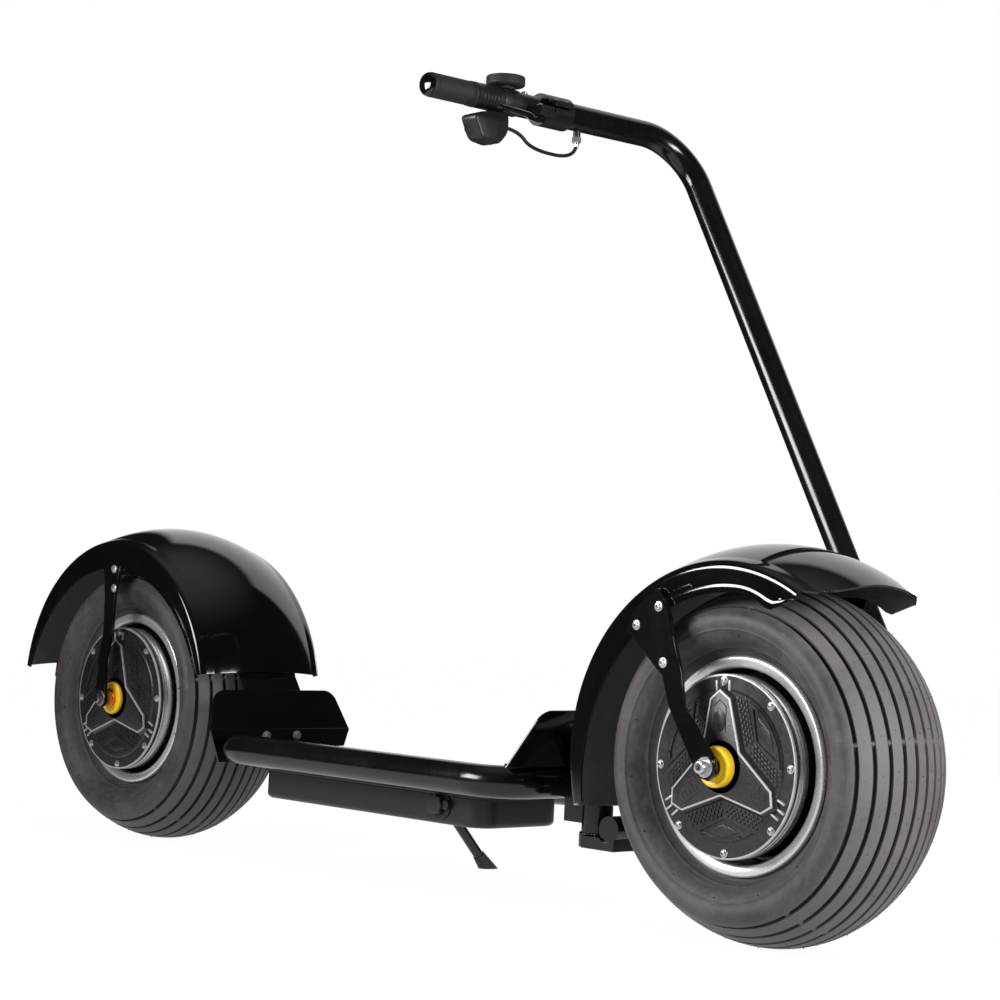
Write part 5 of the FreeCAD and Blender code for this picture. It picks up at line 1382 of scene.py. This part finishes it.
# what polished paint sees of the floor: a lit patch beside the scooter, dark further out
spot = graph.add("ShaderNodeTexCoord").outputs["Object"]
away = graph.add("ShaderNodeVectorMath", {0: spot, 1: PATCH_PLACE}, operation="DISTANCE")
patch = graph.span(away.outputs["Value"], PATCH_FROM, PATCH_TO, 0.85, 0.03)
dim = graph.add("ShaderNodeEmission", {"Color": (1, 1, 1, 1), "Strength": patch}).outputs[0]
share = graph.math("MULTIPLY", ray["Is Camera Ray"], 1 - PAPER_SHARE)
seen = graph.add("ShaderNodeMixShader", {0: share, 1: paper, 2: white}).outputs[0]
mirrored = graph.add("ShaderNodeMixShader", {0: ray["Is Glossy Ray"], 1: seen, 2: dim}).outputs[0]
graph.tree.links.new(mirrored, floor_white.node_tree.nodes["Material Output"].inputs["Surface"])
floor_mesh.materials.append(floor_white)
print("floor", 2 * FLOOR_HALF, "m wide")

# %% World
world = bpy.data.worlds.new("studio")
scene.world = world
world.use_nodes = True
graph = Graph(world.node_tree)
backdrop = world.node_tree.nodes["Background"]
ray = graph.add("ShaderNodeLightPath").outputs
direction = graph.add("ShaderNodeTexCoord").outputs["Generated"]
height = graph.add("ShaderNodeSeparateXYZ", {"Vector": direction}).outputs["Z"]
ceiling = graph.math("POWER", graph.span(height, 0.7, 0.99, 0.0, 1.0), 2.0)
ceiling = graph.math("ADD", graph.math("MULTIPLY", ceiling, CEILING), CEILING_LOW)
# the wall's edge is where the level direction is about 30 degrees from the wall's middle
flat = graph.add("ShaderNodeVectorMath", {0: direction, 1: (1, 1, 0)}, operation="MULTIPLY")
flat = graph.add("ShaderNodeVectorMath", {0: flat.outputs[0]}, operation="NORMALIZE").outputs[0]
toward = graph.add("ShaderNodeVectorMath", {0: flat, 1: WALL_TOWARD},
                   operation="DOT_PRODUCT").outputs["Value"]
wall = graph.math("MULTIPLY", graph.span(toward, 0.85, 0.88, 0.0, WALL_LEVEL),
                  graph.span(height, 0.73, 0.79, 1.0, 0.0))
sky = graph.math("MAXIMUM", ceiling, wall)
not_glossy = graph.math("SUBTRACT", 1.0, ray["Is Glossy Ray"])
level = graph.math("ADD", graph.math("MULTIPLY", ray["Is Glossy Ray"], sky),
                   graph.math("MULTIPLY", not_glossy, DIFFUSE_WORLD))
full = graph.math("MAXIMUM", level, ray["Is Camera Ray"])
backdrop.inputs["Color"].default_value = (1, 1, 1, 1)
graph.tree.links.new(full, backdrop.inputs["Strength"])
print("world done")

# %% [markdown]
# Three soft boxes: one to the right, whose long highlight runs down the stem, one ahead for the
# tread, and a small one behind, like a window in the crown of the rear fender. The first has a
# grid in front, so that it doesn't light the rear wheel as much as the front one.

# %% Lamps
def soft_box(name, place, target, width, tall, power, spread):
    """An area lamp that faces a target: its -Z axis points there. The spread is an angle in
    degrees, and a small one keeps the light near that axis."""
    lamp_data = bpy.data.lights.new(name, "AREA")
    lamp_data.spread = np.radians(spread)
    lamp_data.shape = "RECTANGLE"
    lamp_data.size, lamp_data.size_y, lamp_data.energy = width, tall, power
    lamp = bpy.data.objects.new(name, lamp_data)
    scene.collection.objects.link(lamp)
    back = np.array(place, float) - target
    back /= np.linalg.norm(back)
    across = np.cross([0, 0, 1], back)
    across /= np.linalg.norm(across)
    matrix = np.eye(4)
    matrix[:3, 0], matrix[:3, 1], matrix[:3, 2] = across, np.cross(back, across), back
    matrix[:3, 3] = place
    lamp.matrix_world = Matrix(matrix.tolist())


# (name, place, target, width, height, watts, spread)
LAMPS = [("right_box", (-0.46, -2.05, 1.07), (0.9, 0, 0.4), 1.3, 0.8, 19.5, 100),
         ("front_box", (3.1, 0.0, 0.95), (0.3, 0, 0.4), 0.7, 1.2, 68, 180),
         ("window", (-0.85, 2.9, 0.62), (-0.6, 0, 0.4), 0.4, 0.5, 4, 180)]
for row in LAMPS:
    soft_box(*row)
scene.view_settings.view_transform = "Standard"
print(len(LAMPS), "lamps")
